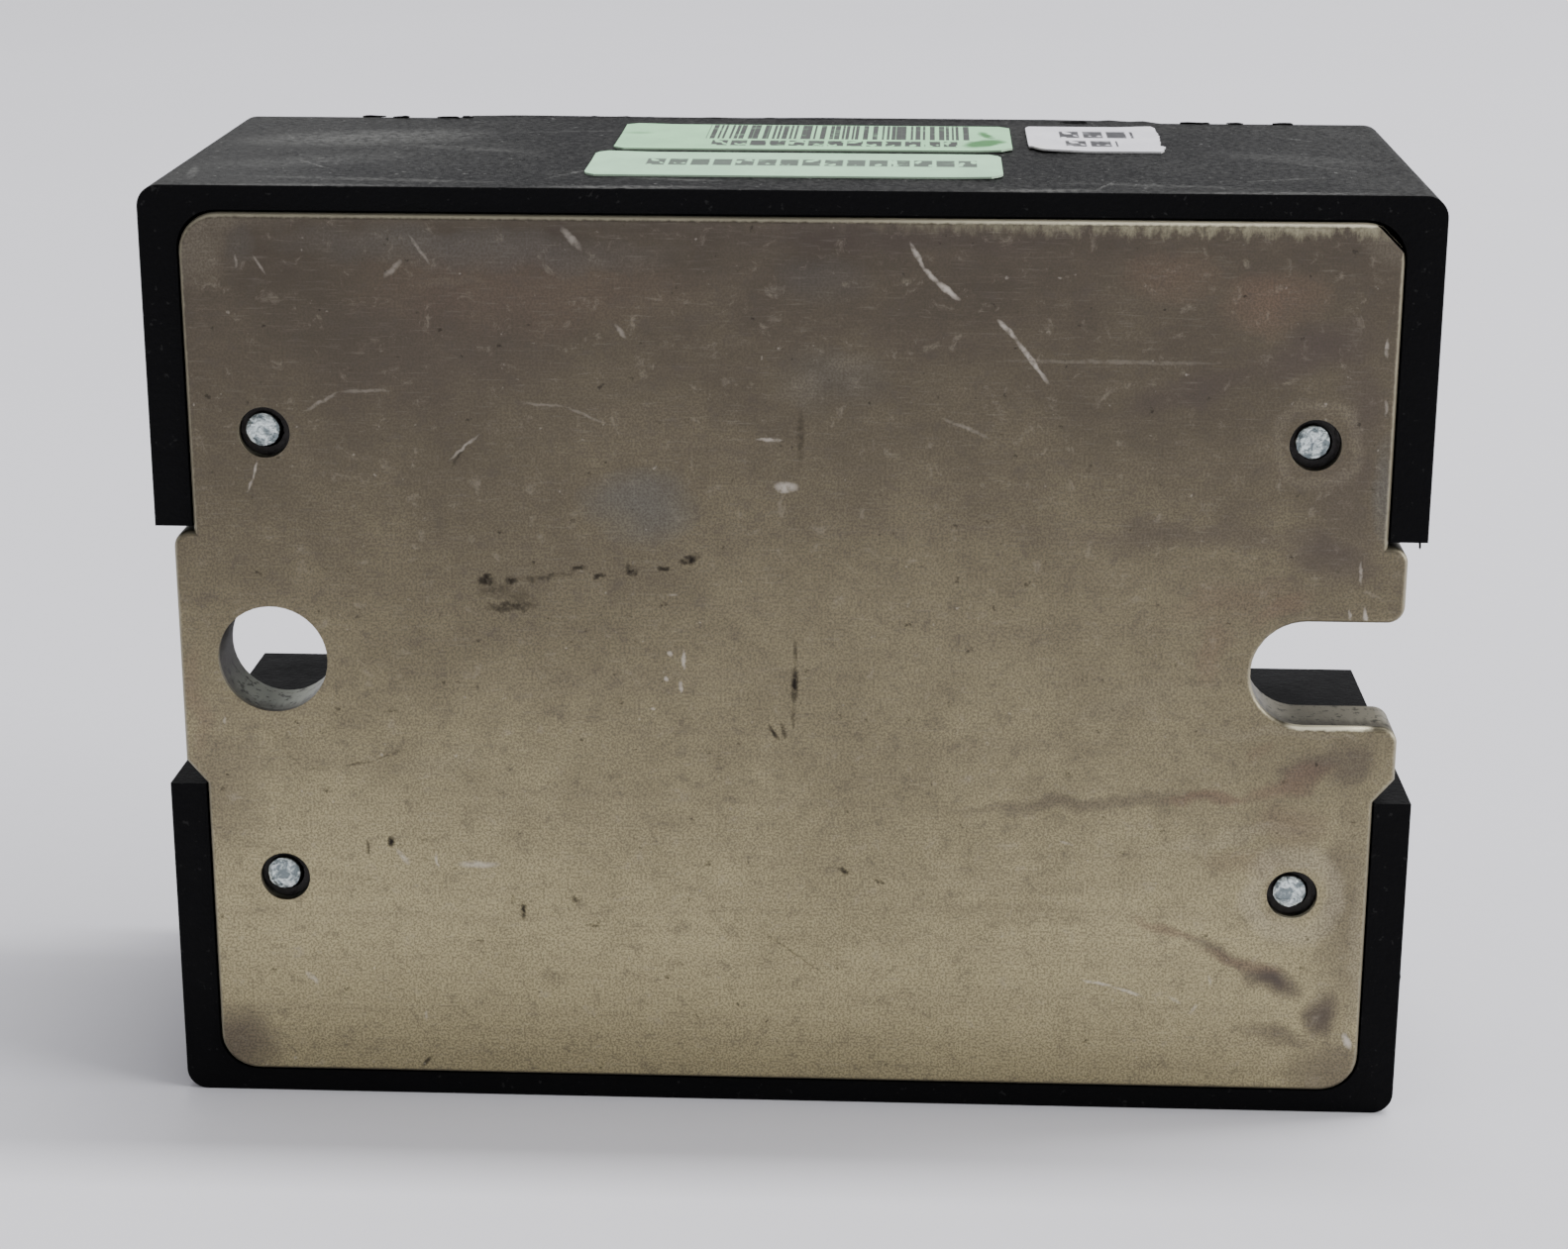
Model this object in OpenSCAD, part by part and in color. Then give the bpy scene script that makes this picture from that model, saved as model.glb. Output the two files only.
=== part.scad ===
// Panel-mount solid state relay, of the flat "puck" form, in millimetres.
// The origin is the centre of the base plate's mounting face, midway between its
// hole and its slot. +X runs along the relay towards the slotted end, +Y runs from
// the mounting face to the terminal side, and +Z runs up across its width.

/* [Case] */
// Length of the case, end to end
case_length = 58; // [57.6:0.2:59]
// Width of the case, which stands along Z
case_width = 44; // [43.6:0.2:45]
// Depth from the mounting face to the raised front panel
case_depth = 22.9; // [22.6:0.1:24]
// Step from the raised front panel down to the terminal ends
panel_step = 0.9; // [0.5:0.1:1.4]
// Half the length of the raised front panel
panel_half = 17; // [16:0.5:18]
// Outer corner radius of the case
case_corner = 1; // [0.5:0.1:1.6]
// How far the base plate stands proud of the rim of the case
plate_proud = 0.25; // [0.1:0.05:0.4]
// Height of the terminal floors above the mounting face
floor_level = 12.5; // [12.3:0.1:12.8]

/* [Base plate] */
// Length of the plate between the end walls
plate_length = 54.4; // [54:0.1:54.8]
// Width of the plate between the long walls
plate_width = 41.6; // [41.2:0.1:41.8]
// Thickness of the plate
plate_thick = 3.2; // [3:0.1:3.4]
// Distance from the mounting hole to the centre of the slot
hole_spacing = 47.6; // [47:0.1:48]
// Diameter of the mounting hole
hole_dia = 5.1; // [4.5:0.1:5.4]
// Width of the mounting slot
slot_width = 5; // [4.5:0.1:5.4]
// Length of the plate over its two ears
ear_length = 56.3; // [55.8:0.1:56.6]

/* [Mounting notches] */
// Distance from the middle of the relay to the inner end of a notch
notch_inner = 17; // [17:0.1:17.5]
// Half the width of a notch at the base plate
notch_half_rim = 6.25; // [6.1:0.05:6.4]
// Half the width of a notch at the front
notch_half_front = 6.8; // [6.6:0.05:6.9]

/* [Terminals] */
// Distance of the terminal screws from the middle, along the relay
terminal_x = 23.2; // [23:0.1:23.5]
// Distance of the terminal screws from the middle, across the relay
terminal_z = 14.25; // [14.1:0.05:14.4]
// Diameter of the terminal screws
screw_dia = 3.9; // [3.5:0.1:4]
// Diameter of a screw head
head_dia = 7.4; // [6.8:0.2:8]

/* [Locating pins] */
// Distance of the pins from the middle, along the relay
pin_x = 23.7; // [23.5:0.1:23.9]
// Distance of the pins from the middle, across the relay
pin_z = 10.8; // [10.6:0.1:10.9]
// Diameter of a pin
pin_dia = 1.56; // [1.4:0.02:1.6]
// Diameter of the clearance hole round a pin
pin_hole_dia = 2.35; // [2.1:0.05:2.5]

/* [Hidden] */
$fn = 48;

// Overshoot of a cutting shape, and the gap between neighbours in one body
over = 1;
fit_gap = 0.1;
snug = 0.02;

// Case
half_length = case_length / 2;
half_width = case_width / 2;
shoulder = case_depth - panel_step;
cavity_x = 15.4;
cavity_z = 20;
front_wall = 2.2;
cavity_top = case_depth - front_wall;
pocket_inner = 18.2;
pocket_low = 8.2;
pocket_high = 20.4;

// Base plate
plate_corner = 1.8;
ear_top = 6.1;
ear_low = 5.05;
ear_chamfer = 1.15;
mouth_r = 0.8;
pin_recess = 0.35;
pin_tip = 7.5;
seal_recess = 0.55;

// Power stage, stacked on the inner face of the plate
solder_thick = 0.1;
ceramic_thick = 0.64;
copper_thick = 0.3;
chip_thick = 0.4;
ceramic_face = plate_thick + solder_thick + ceramic_thick;
copper_face = ceramic_face + copper_thick;
chip_face = copper_face + chip_thick;
ceramic_x = 13.5;
ceramic_z = 17;
chip_side = 6.5;
chip_line = [-6, 5];
chip_load = [0.5, -5];
gate_pad_x = 8.5;
gate_pad_z = 6.5;
gate_pad_side = 5;
gate_pin_side = 0.64;
gel_low = 6.8;
gel_high = 10.5;

// Control board and terminal strips
strip_load_thick = 1;
strip_control_thick = 0.8;
strip_load_width = 8;
strip_control_width = 7;
riser_x = 13.6;
board_low = floor_level + strip_control_thick;
board_thick = 1.6;
board_face = board_low + board_thick;
lead_dia = 0.7;

// Terminal hardware
nut_side = 7;
nut_thick = 3.2;
nut_low = floor_level - nut_thick;
screw_tip = 7.8;
tip_hole_end = 7.3;
clamp_low = floor_level + strip_load_thick + 0.2;
clamp_thick = 1.2;
clamp_x = 4.4;
clamp_z = 5.2;
clamp_lip = 0.8;
head_low = clamp_low + clamp_thick + 0.1;
head_height = 2.4;
led_x = 12;
led_hole = 3.4;
label_thick = 0.12;

// Outline drawn in X and Z, and run along Y
module along_y(low, high) {
    translate([0, high, 0]) rotate([90, 0, 0]) linear_extrude(high - low) children();
}

// Outline drawn in Y and Z, and run along X
module along_x(low, high) {
    translate([low, 0, 0]) rotate([90, 0, 90]) linear_extrude(high - low) children();
}

// Outline drawn in X and Y, and run along Z
module along_z(low, high) {
    translate([0, 0, low]) linear_extrude(high - low) children();
}

// Round bar along Y
module rod_y(dia, low, high) {
    along_y(low, high) circle(d = dia);
}

module rounded_rect(width, height, r) {
    square([width - 2 * r, height], center = true);
    square([width, height - 2 * r], center = true);
    for (x = [-1, 1], z = [-1, 1])
        translate([x * (width / 2 - r), z * (height / 2 - r)]) circle(r = r);
}

// Copies at all four corners of the relay, each facing outwards
module four_corners() {
    for (end = [0, 1], side = [0, 1])
        mirror([end, 0, 0]) mirror([0, 0, side]) children();
}

module both_ends() {
    for (end = [0, 1]) mirror([end, 0, 0]) children();
}

// ---------- base plate ----------

// Square upper corner with a small round, and a chamfered lower corner
module ear_outline() {
    half_ear = ear_length / 2;
    chamfer_end = ear_low + ear_chamfer;
    polygon([
        [0, -chamfer_end], [plate_length / 2, -chamfer_end], [half_ear, -ear_low],
        [half_ear, ear_top - mouth_r], [half_ear - mouth_r, ear_top], [0, ear_top]
    ]);
    translate([half_ear - mouth_r, ear_top - mouth_r]) circle(r = mouth_r);
}

module slot_outline() {
    slot_x = hole_spacing / 2;
    mouth = ear_length / 2;
    half_slot = slot_width / 2;
    translate([slot_x, 0]) circle(d = slot_width);
    translate([slot_x, -half_slot]) square([mouth - slot_x + over, slot_width]);
    for (side = [-1, 1]) difference() {
        translate([mouth - mouth_r, side > 0 ? half_slot - snug : -half_slot - mouth_r + snug])
            square([mouth_r + over, mouth_r]);
        translate([mouth - mouth_r, side * (half_slot + mouth_r)]) circle(r = mouth_r);
    }
}

module plate_outline() {
    difference() {
        union() {
            rounded_rect(plate_length, plate_width, plate_corner);
            ear_outline();
            mirror([1, 0]) ear_outline();
        }
        translate([-hole_spacing / 2, 0]) circle(d = hole_dia);
        slot_outline();
        for (x = [-1, 1], z = [-1, 1])
            translate([x * pin_x, z * pin_z]) circle(d = pin_hole_dia);
    }
}

module base_plate() {
    color([0.56, 0.53, 0.47]) along_y(0, plate_thick) plate_outline();
}

module locating_pins() {
    color([0.74, 0.80, 0.82]) four_corners() translate([pin_x, 0, pin_z]) rotate([-90, 0, 0])
        rotate_extrude() polygon([
            [0, pin_recess], [pin_dia / 2 - 0.2, pin_recess], [pin_dia / 2, pin_recess + 0.2],
            [pin_dia / 2, pin_tip], [0, pin_tip]
        ]);
}

module pin_seals() {
    color([0.10, 0.08, 0.06]) four_corners() translate([pin_x, 0, pin_z])
        along_y(seal_recess, plate_thick) difference() {
            circle(d = pin_hole_dia - 2 * snug);
            circle(d = pin_dia + 2 * snug);
        }
}

// ---------- case ----------

module case_blank() {
    along_y(plate_proud, shoulder) rounded_rect(case_length, case_width, case_corner);
    along_z(-half_width, half_width) polygon([
        [-panel_half - panel_step, shoulder - over], [-panel_half - panel_step, shoulder],
        [-panel_half, case_depth], [panel_half, case_depth],
        [panel_half + panel_step, shoulder], [panel_half + panel_step, shoulder - over]
    ]);
}

// Notch that the mounting screw and its driver reach through
module mounting_notch() {
    reach = half_length + over;
    width = 2 * notch_half_front + 0.2;
    intersection() {
        along_x(notch_inner, reach) polygon([
            [-over, -notch_half_rim], [case_depth + over, -notch_half_front],
            [case_depth + over, notch_half_front], [-over, notch_half_rim]
        ]);
        along_y(-over, case_depth + over) translate([notch_inner + reach / 2, 0])
            rounded_rect(reach, width, 1.2);
    }
}

// Terminal pocket, open to the front and to the end of the case
module terminal_pocket() {
    translate([pocket_inner, floor_level, pocket_low])
        cube([half_length - pocket_inner + over, case_depth, pocket_high - pocket_low]);
}

// What is sunk below a terminal floor: the nut, the screw's tip and a locating pin
module terminal_sockets() {
    nut_room = nut_side + 2 * fit_gap;
    translate([terminal_x, 0, terminal_z]) {
        along_y(nut_low, floor_level + over) square(nut_room, center = true);
        rod_y(screw_dia + 0.8, tip_hole_end, floor_level);
    }
    translate([pin_x, 0, pin_z]) rod_y(pin_dia + 2 * snug, 0, pin_tip + fit_gap);
}

// Gap in a pocket's inner wall that a terminal strip passes through
module strip_gap(width, thick) {
    translate([cavity_x - over, floor_level, terminal_z - width / 2 - fit_gap])
        cube([pocket_inner - cavity_x + 2 * over, thick + fit_gap, width + 2 * fit_gap]);
}

module plate_recess() {
    along_y(-over, plate_thick)
        rounded_rect(plate_length + 2 * fit_gap, plate_width + 2 * fit_gap, plate_corner);
}

module cavity() {
    difference() {
        along_y(plate_thick - over, cavity_top)
            rounded_rect(2 * cavity_x, 2 * cavity_z, 1);
        translate([-cavity_x - over, gel_high + fit_gap, -5])
            cube([4, board_low - gel_high - fit_gap, 10]);
    }
}

module case() {
    color([0.09, 0.09, 0.095]) difference() {
        case_blank();
        both_ends() mounting_notch();
        four_corners() terminal_pocket();
        four_corners() terminal_sockets();
        plate_recess();
        cavity();
        for (side = [0, 1]) mirror([0, 0, side]) {
            strip_gap(strip_control_width, strip_control_thick);
            mirror([1, 0, 0]) strip_gap(strip_load_width, strip_load_thick);
        }
        translate([led_x, 0, 0]) rod_y(led_hole, cavity_top - over, case_depth + over);
    }
}

// ---------- power stage ----------

module solder_layer() {
    color([0.70, 0.71, 0.74]) along_y(plate_thick, plate_thick + solder_thick)
        square([2 * ceramic_x - 2, 2 * ceramic_z - 2], center = true);
}

module ceramic_substrate() {
    color([0.93, 0.92, 0.88]) along_y(plate_thick + solder_thick, ceramic_face)
        rounded_rect(2 * ceramic_x, 2 * ceramic_z, 0.8);
}

module copper_pads() {
    color([0.80, 0.48, 0.30]) along_y(ceramic_face, copper_face) {
        for (side = [-1, 1]) {
            translate([-4.25, side * 8.75]) rounded_rect(16.5, 14.5, 0.5);
            translate([gate_pad_x, side * gate_pad_z]) rounded_rect(gate_pad_side, gate_pad_side, 0.5);
        }
    }
}

module thyristor_chips() {
    color([0.33, 0.34, 0.37]) along_y(copper_face, chip_face)
        for (spot = [chip_line, chip_load]) translate(spot) square(chip_side, center = true);
}

// Copper bridge from the top of one chip to the other chip's pad
module cathode_jumper() {
    strap = 0.4;
    crest = 6.4;
    along_x(-1.5, 1.5) polygon([
        [chip_face, 6.5], [chip_face, 3.2], [crest - strap, 1.4], [crest - strap, -2],
        [copper_face, -3.6], [copper_face, -6.5], [copper_face + strap, -6.5],
        [copper_face + strap, -3.8], [crest, -2.2], [crest, 1.6],
        [chip_face + strap, 3.4], [chip_face + strap, 6.5]
    ]);
}

module cathode_jumpers() {
    color([0.83, 0.52, 0.33]) {
        translate([chip_line[0], 0, 0]) cathode_jumper();
        translate([chip_load[0], 0, 0]) mirror([0, 0, 1]) cathode_jumper();
    }
}

// Flat gate wire from a chip's gate corner to its pad
module gate_wire(start) {
    strap = 0.2;
    crest = 6.2;
    finish = gate_pad_x - 1;
    along_z(-0.3, 0.3) polygon([
        [start, chip_face], [start + 0.8, chip_face], [start + 1.4, crest - strap],
        [finish - 1.6, crest - strap], [finish - 1, copper_face], [finish, copper_face],
        [finish, copper_face + strap], [finish - 0.8, copper_face + strap],
        [finish - 1.4, crest], [start + 1.2, crest], [start + 0.6, chip_face + strap],
        [start, chip_face + strap]
    ]);
}

module gate_wires() {
    color([0.86, 0.86, 0.84]) {
        translate([0, 0, 7.7]) gate_wire(chip_line[0] + 2);
        translate([0, 0, -7.7]) gate_wire(chip_load[0] + 1.6);
    }
}

module gate_pins() {
    color([0.78, 0.76, 0.66]) for (side = [-1, 1])
        translate([gate_pad_x + 1, 0, side * gate_pad_z])
            along_y(copper_face, board_low) square(gate_pin_side, center = true);
}

module silicone_gel() {
    riser_room = 1.4;
    color([0.75, 0.78, 0.80, 0.6]) along_y(gel_low, gel_high) difference() {
        rounded_rect(2 * cavity_x - fit_gap, 2 * cavity_z - fit_gap, 1);
        for (side = [-1, 1]) {
            translate([-riser_x - strip_load_thick / 2, side * terminal_z])
                square([riser_room, strip_load_width + 2 * fit_gap], center = true);
            translate([gate_pad_x + 1, side * gate_pad_z])
                square(gate_pin_side + 2 * fit_gap, center = true);
        }
    }
}

// ---------- terminal strips ----------

// Flat in the pocket, down to the copper pad, with a tab for the control board
module load_side_strip() {
    thick = strip_load_thick;
    outer = half_length - 1.2;
    difference() {
        union() {
            translate([0, 0, -strip_load_width / 2]) along_z(0, strip_load_width) polygon([
                [-outer, floor_level], [-riser_x - thick, floor_level],
                [-riser_x - thick, copper_face], [-9.6, copper_face],
                [-9.6, copper_face + thick], [-riser_x, copper_face + thick],
                [-riser_x, floor_level + thick], [-outer, floor_level + thick]
            ]);
            translate([-riser_x - snug, floor_level, -1])
                cube([2.6, strip_control_thick, 2]);
        }
        translate([-terminal_x, 0, 0]) rod_y(screw_dia + 0.7, floor_level - over, case_depth);
        translate([-riser_x + 0.1, 0, 2])
            cube([riser_x, copper_face + 2 * thick, strip_load_width]);
    }
}

module control_side_strip() {
    outer = half_length - 1.2;
    inner = 12.4;
    difference() {
        translate([0, 0, -strip_control_width / 2]) along_z(0, strip_control_width)
            translate([inner, floor_level]) square([outer - inner, strip_control_thick]);
        translate([terminal_x, 0, 0]) rod_y(screw_dia + 0.7, floor_level - over, case_depth);
        for (side = [-1, 1]) translate([inner - over, floor_level - over, side * 2.5 - 1.5])
            cube([3, 3, 3]);
    }
}

module line_strip() {
    color([0.80, 0.72, 0.50]) translate([0, 0, terminal_z]) load_side_strip();
}

module load_strip() {
    color([0.80, 0.72, 0.50]) mirror([0, 0, 1]) translate([0, 0, terminal_z]) load_side_strip();
}

module control_plus_strip() {
    color([0.80, 0.72, 0.50]) translate([0, 0, terminal_z]) control_side_strip();
}

module control_minus_strip() {
    color([0.80, 0.72, 0.50]) translate([0, 0, -terminal_z]) control_side_strip();
}

module terminal_nuts() {
    color([0.72, 0.73, 0.74]) four_corners() translate([terminal_x, 0, terminal_z])
        along_y(nut_low, floor_level) difference() {
            rounded_rect(nut_side, nut_side, 0.4);
            circle(d = screw_dia + 0.1);
        }
}

// ---------- control electronics ----------

module control_board() {
    low_x = -13;
    high_x = 15;
    color([0.14, 0.34, 0.20]) along_y(board_low, board_face)
        translate([(low_x + high_x) / 2, 0]) rounded_rect(high_x - low_x, 2 * cavity_z - 1, 0.8);
}

// Part with two wire leads that are bent down to the board, lying along Z
module axial_part(dia, length, span) {
    centre = board_face + dia / 2 + 0.3;
    translate([0, centre, -length / 2]) barrel(dia / 2, length);
    for (end = [-1, 1]) {
        translate([0, centre, end * (span + length) / 4 + end * lead_dia / 4])
            cylinder(d = lead_dia, h = (span - length) / 2 + lead_dia, center = true);
        translate([0, 0, end * span / 2]) rod_y(lead_dia, board_face, centre);
    }
}

// Barrel with slightly fatter ends, as a moulded or dipped part has
module barrel(r, length) {
    rotate_extrude() polygon([
        [0, 0], [r * 0.75, 0], [r, r * 0.3], [r, length * 0.25], [r * 0.88, length * 0.32],
        [r * 0.88, length * 0.68], [r, length * 0.75], [r, length - r * 0.3],
        [r * 0.75, length], [0, length]
    ]);
}

module optocoupler() {
    body_x = 6.4;
    body_z = 7.2;
    leg_reach = 3.9;
    color([0.90, 0.90, 0.87]) translate([-3, 0, -4]) {
        translate([0, board_face + 0.5, 0]) along_z(-body_z / 2, body_z / 2) polygon([
            [-body_x / 2 + 0.2, 0], [body_x / 2 - 0.2, 0], [body_x / 2, 1.6],
            [body_x / 2 - 0.2, 3.3], [-body_x / 2 + 0.2, 3.3], [-body_x / 2, 1.6]
        ]);
        for (side = [-1, 1], row = [-1, 0, 1]) translate([0, 0, row * 2.54])
            mirror([side < 0 ? 1 : 0, 0, 0]) along_z(-0.3, 0.3) polygon([
                [3, board_face + 1.9], [leg_reach - 0.25, board_face + 1.9],
                [leg_reach - 0.25, board_face], [leg_reach, board_face],
                [leg_reach, board_face + 2.2], [3, board_face + 2.2]
            ]);
    }
}

module snubber_capacitor() {
    color([0.85, 0.72, 0.20]) translate([-6, 0, 11])
        along_y(board_face, cavity_top - 0.4) rounded_rect(9.5, 13, 0.6);
}

module snubber_resistor() {
    color([0.30, 0.48, 0.62]) translate([3, 0, 11]) axial_part(3.8, 10, 14);
}

module gate_resistors() {
    color([0.80, 0.68, 0.48]) for (x = [-10, -6.5])
        translate([x, 0, -14]) axial_part(2.3, 6, 9);
}

module input_resistor() {
    color([0.80, 0.68, 0.48]) translate([7, 0, -13]) axial_part(2.3, 6, 9);
}

module input_diode() {
    color([0.12, 0.12, 0.13]) translate([11, 0, -13]) axial_part(2.7, 5.2, 9);
}

// Current limiter: a small transistor with one flat side, lying on the board
module input_transistor() {
    r = 2.3;
    color([0.11, 0.11, 0.12]) translate([8.5, board_face + 0.2, 10]) {
        along_z(0, 4.6) intersection() {
            translate([0, 1.2]) circle(r = r);
            translate([-r, 0]) square([2 * r, 2 * r]);
        }
        for (x = [-1.27, 0, 1.27]) translate([x - 0.2, -0.2, -2.6]) {
            translate([0, 0.9, 0]) cube([0.4, 0.4, 2.7]);
            cube([0.4, 1.3, 0.4]);
        }
    }
}

module status_led() {
    r = 1.5;
    flange_low = cavity_top - 2;
    crown = case_depth + 0.3;
    color([0.80, 0.12, 0.10]) translate([led_x, 0, 0]) {
        rotate([-90, 0, 0]) rotate_extrude() union() {
            polygon([
                [0, flange_low], [r + 0.4, flange_low], [r + 0.4, flange_low + 1],
                [r, flange_low + 1], [r, crown - r], [0, crown - r]
            ]);
            intersection() {
                translate([0, crown - r]) circle(r = r);
                translate([0, crown - r]) square(r);
            }
        }
        for (z = [-1.27, 1.27])
            translate([-0.25, board_face, z - 0.25]) cube([0.5, flange_low - board_face + 0.1, 0.5]);
    }
}

// ---------- labels ----------

module front_label() {
    color([0.84, 0.84, 0.82]) along_y(case_depth, case_depth + label_thick) difference() {
        rounded_rect(31, 38, 1);
        translate([led_x, 0]) circle(d = led_hole + 0.2);
    }
}

// Paper label on the upper long side of the case, from its low to its high corner
module side_label(low, high, r) {
    size = high - low;
    translate([0, 0, half_width]) along_z(0, label_thick)
        translate((low + high) / 2) rounded_rect(size[0], size[1], r);
}

module green_label_rear() {
    color([0.74, 0.87, 0.78]) side_label([-9.4, 3.6], [9.6, 10.4], 1);
}

module green_label_front() {
    color([0.74, 0.89, 0.70]) side_label([-8.8, 11.6], [10.2, 19.6], 1);
}

module white_label() {
    color([0.88, 0.88, 0.92]) side_label([11, 11.8], [17.4, 19.8], 0.7);
}

// ---------- terminal clamps and screws ----------

module clamp() {
    color([0.78, 0.76, 0.70]) difference() {
        along_x(-clamp_x, clamp_x) polygon([
            [clamp_low - clamp_lip, -clamp_z], [clamp_low + clamp_thick, -clamp_z],
            [clamp_low + clamp_thick, clamp_z], [clamp_low - clamp_lip, clamp_z],
            [clamp_low - clamp_lip, clamp_z - clamp_lip], [clamp_low, clamp_z - clamp_lip],
            [clamp_low, clamp_lip - clamp_z], [clamp_low - clamp_lip, clamp_lip - clamp_z]
        ]);
        rod_y(screw_dia + 0.5, clamp_low - over, head_low);
    }
}

module screw() {
    r = screw_dia / 2;
    head_r = head_dia / 2;
    crown = head_low + head_height;
    slot = 1;
    color([0.76, 0.77, 0.78]) difference() {
        rotate([-90, 0, 0]) rotate_extrude() polygon([
            [0, screw_tip], [r - 0.5, screw_tip], [r, screw_tip + 0.5], [r, head_low],
            [head_r, head_low], [head_r, head_low + 1.3], [head_r - 0.25, crown - 0.6],
            [head_r - 0.9, crown - 0.15], [head_r - 1.8, crown], [0, crown]
        ]);
        translate([-head_dia / 2 - over, crown - 1.1, -slot / 2])
            cube([head_dia + 2 * over, 2, slot]);
        translate([-slot / 2, crown - 1.5, -2.2]) cube([slot, 2, 4.4]);
    }
}

module at_terminal(end, side) {
    translate([end * terminal_x, 0, side * terminal_z]) children();
}

module line_clamp() { at_terminal(-1, 1) clamp(); }
module load_clamp() { at_terminal(-1, -1) clamp(); }
module control_plus_clamp() { at_terminal(1, 1) clamp(); }
module control_minus_clamp() { at_terminal(1, -1) clamp(); }
module line_screw() { at_terminal(-1, 1) screw(); }
module load_screw() { at_terminal(-1, -1) screw(); }
module control_plus_screw() { at_terminal(1, 1) screw(); }
module control_minus_screw() { at_terminal(1, -1) screw(); }

base_plate();
case();
locating_pins();
pin_seals();
solder_layer();
ceramic_substrate();
copper_pads();
thyristor_chips();
cathode_jumpers();
gate_wires();
gate_pins();
silicone_gel();
line_strip();
load_strip();
control_plus_strip();
control_minus_strip();
terminal_nuts();
control_board();
optocoupler();
snubber_capacitor();
snubber_resistor();
gate_resistors();
input_resistor();
input_diode();
input_transistor();
status_led();
front_label();
green_label_rear();
green_label_front();
white_label();
line_clamp();
load_clamp();
control_plus_clamp();
control_minus_clamp();
line_screw();
load_screw();
control_plus_screw();
control_minus_screw();
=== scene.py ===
import math
import random
import bpy
from mathutils import Matrix, Vector


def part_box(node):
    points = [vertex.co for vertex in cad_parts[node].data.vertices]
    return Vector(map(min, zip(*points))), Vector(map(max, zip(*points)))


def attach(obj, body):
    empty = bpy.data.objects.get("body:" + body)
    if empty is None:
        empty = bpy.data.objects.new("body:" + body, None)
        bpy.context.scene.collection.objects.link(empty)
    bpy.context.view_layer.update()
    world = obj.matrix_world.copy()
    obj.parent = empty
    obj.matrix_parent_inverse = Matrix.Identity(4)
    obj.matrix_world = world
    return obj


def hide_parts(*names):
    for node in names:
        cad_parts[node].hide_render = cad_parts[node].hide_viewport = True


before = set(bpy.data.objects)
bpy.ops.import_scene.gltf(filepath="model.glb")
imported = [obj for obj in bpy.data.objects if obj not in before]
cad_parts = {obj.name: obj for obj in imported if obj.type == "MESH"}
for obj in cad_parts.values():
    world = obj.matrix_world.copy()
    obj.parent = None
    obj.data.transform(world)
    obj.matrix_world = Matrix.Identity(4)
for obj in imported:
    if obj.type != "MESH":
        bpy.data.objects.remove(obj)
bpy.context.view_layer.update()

MM = 0.001
CASE_LOW, CASE_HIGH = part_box("case")
FLOOR_Z = CASE_LOW[2]
TOP_Z = CASE_HIGH[2]


# ---------------------------------------------------------------- modelling

def select_only(*objects):
    """Deselects everything, then selects the given objects and makes the first active."""
    bpy.ops.object.select_all(action="DESELECT")
    for obj in objects:
        obj.select_set(True)
    bpy.context.view_layer.objects.active = objects[0]


def object_mode():
    bpy.ops.object.mode_set(mode="OBJECT")


def edit_mode():
    bpy.ops.object.mode_set(mode="EDIT")


def edit_all(obj, picks="VERT"):
    """Opens a piece in edit mode with all of it selected."""
    select_only(obj)
    edit_mode()
    bpy.ops.mesh.select_mode(type=picks)
    bpy.ops.mesh.select_all(action="SELECT")


def edit_where(obj, test, picks="VERT"):
    """Opens a piece in edit mode with only those parts selected whose corners, in mm, all pass the test."""
    edit_all(obj, picks)
    bpy.ops.mesh.select_all(action="DESELECT")
    object_mode()
    mesh = obj.data
    good = [test(*(vertex.co / MM)) for vertex in mesh.vertices]
    if picks == "VERT":
        for vertex, chosen in zip(mesh.vertices, good):
            vertex.select = chosen
    else:
        for item in mesh.edges if picks == "EDGE" else mesh.polygons:
            item.select = all(good[index] for index in item.vertices)
    edit_mode()


def apply_modifier(obj, kind, **settings):
    """Adds one modifier with the given settings and applies it."""
    select_only(obj)
    modifier = obj.modifiers.new(kind.lower(), kind)
    for name, value in settings.items():
        setattr(modifier, name, value)
    bpy.ops.object.modifier_apply(modifier=modifier.name)


def settle(obj):
    """Puts an object's place, turn and size into its mesh."""
    select_only(obj)
    bpy.ops.object.transform_apply(location=True, rotation=True, scale=True)


def cad_copy(node, name):
    """A copy of a CAD node's mesh with its loose triangles joined up again."""
    select_only(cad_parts[node])
    bpy.ops.object.duplicate()
    piece = bpy.context.object
    piece.name = name
    piece.data.materials.clear()
    edit_all(piece)
    bpy.ops.mesh.remove_doubles(threshold=0.001 * MM)
    bpy.ops.mesh.dissolve_limited(angle_limit=math.radians(0.5))
    object_mode()
    return piece


def round_edges(obj, width, segments=3, angle=40):
    """Bevels the edges that are sharper than an angle, with the width in mm."""
    apply_modifier(
        obj, "BEVEL", width=width * MM, segments=segments, limit_method="ANGLE",
        angle_limit=math.radians(angle), miter_outer="MITER_ARC")


def shade(obj, angle=35):
    """Smooth shading with hard edges, its normals led by the larger faces."""
    select_only(obj)
    bpy.ops.object.shade_smooth_by_angle(angle=math.radians(angle))
    apply_modifier(obj, "WEIGHTED_NORMAL", weight=100, keep_sharp=True)


def place(obj, body, material, replaces=()):
    """Gives a finished piece its material, its body and the CAD nodes that it stands for."""
    obj.data.materials.clear()
    obj.data.materials.append(material)
    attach(obj, body)
    if replaces:
        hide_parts(*replaces)
    return obj


# ---------------------------------------------------------------- shader nodes

def add(tree, kind, settings=None, **sockets):
    """Adds a node. Sockets are given by name, as a value or as another node's output."""
    item = tree.nodes.new(kind)
    for name, value in (settings or {}).items():
        setattr(item, name, value)
    for name, value in sockets.items():
        put(tree, item.inputs[name.replace("_", " ")], value)
    return item


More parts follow.
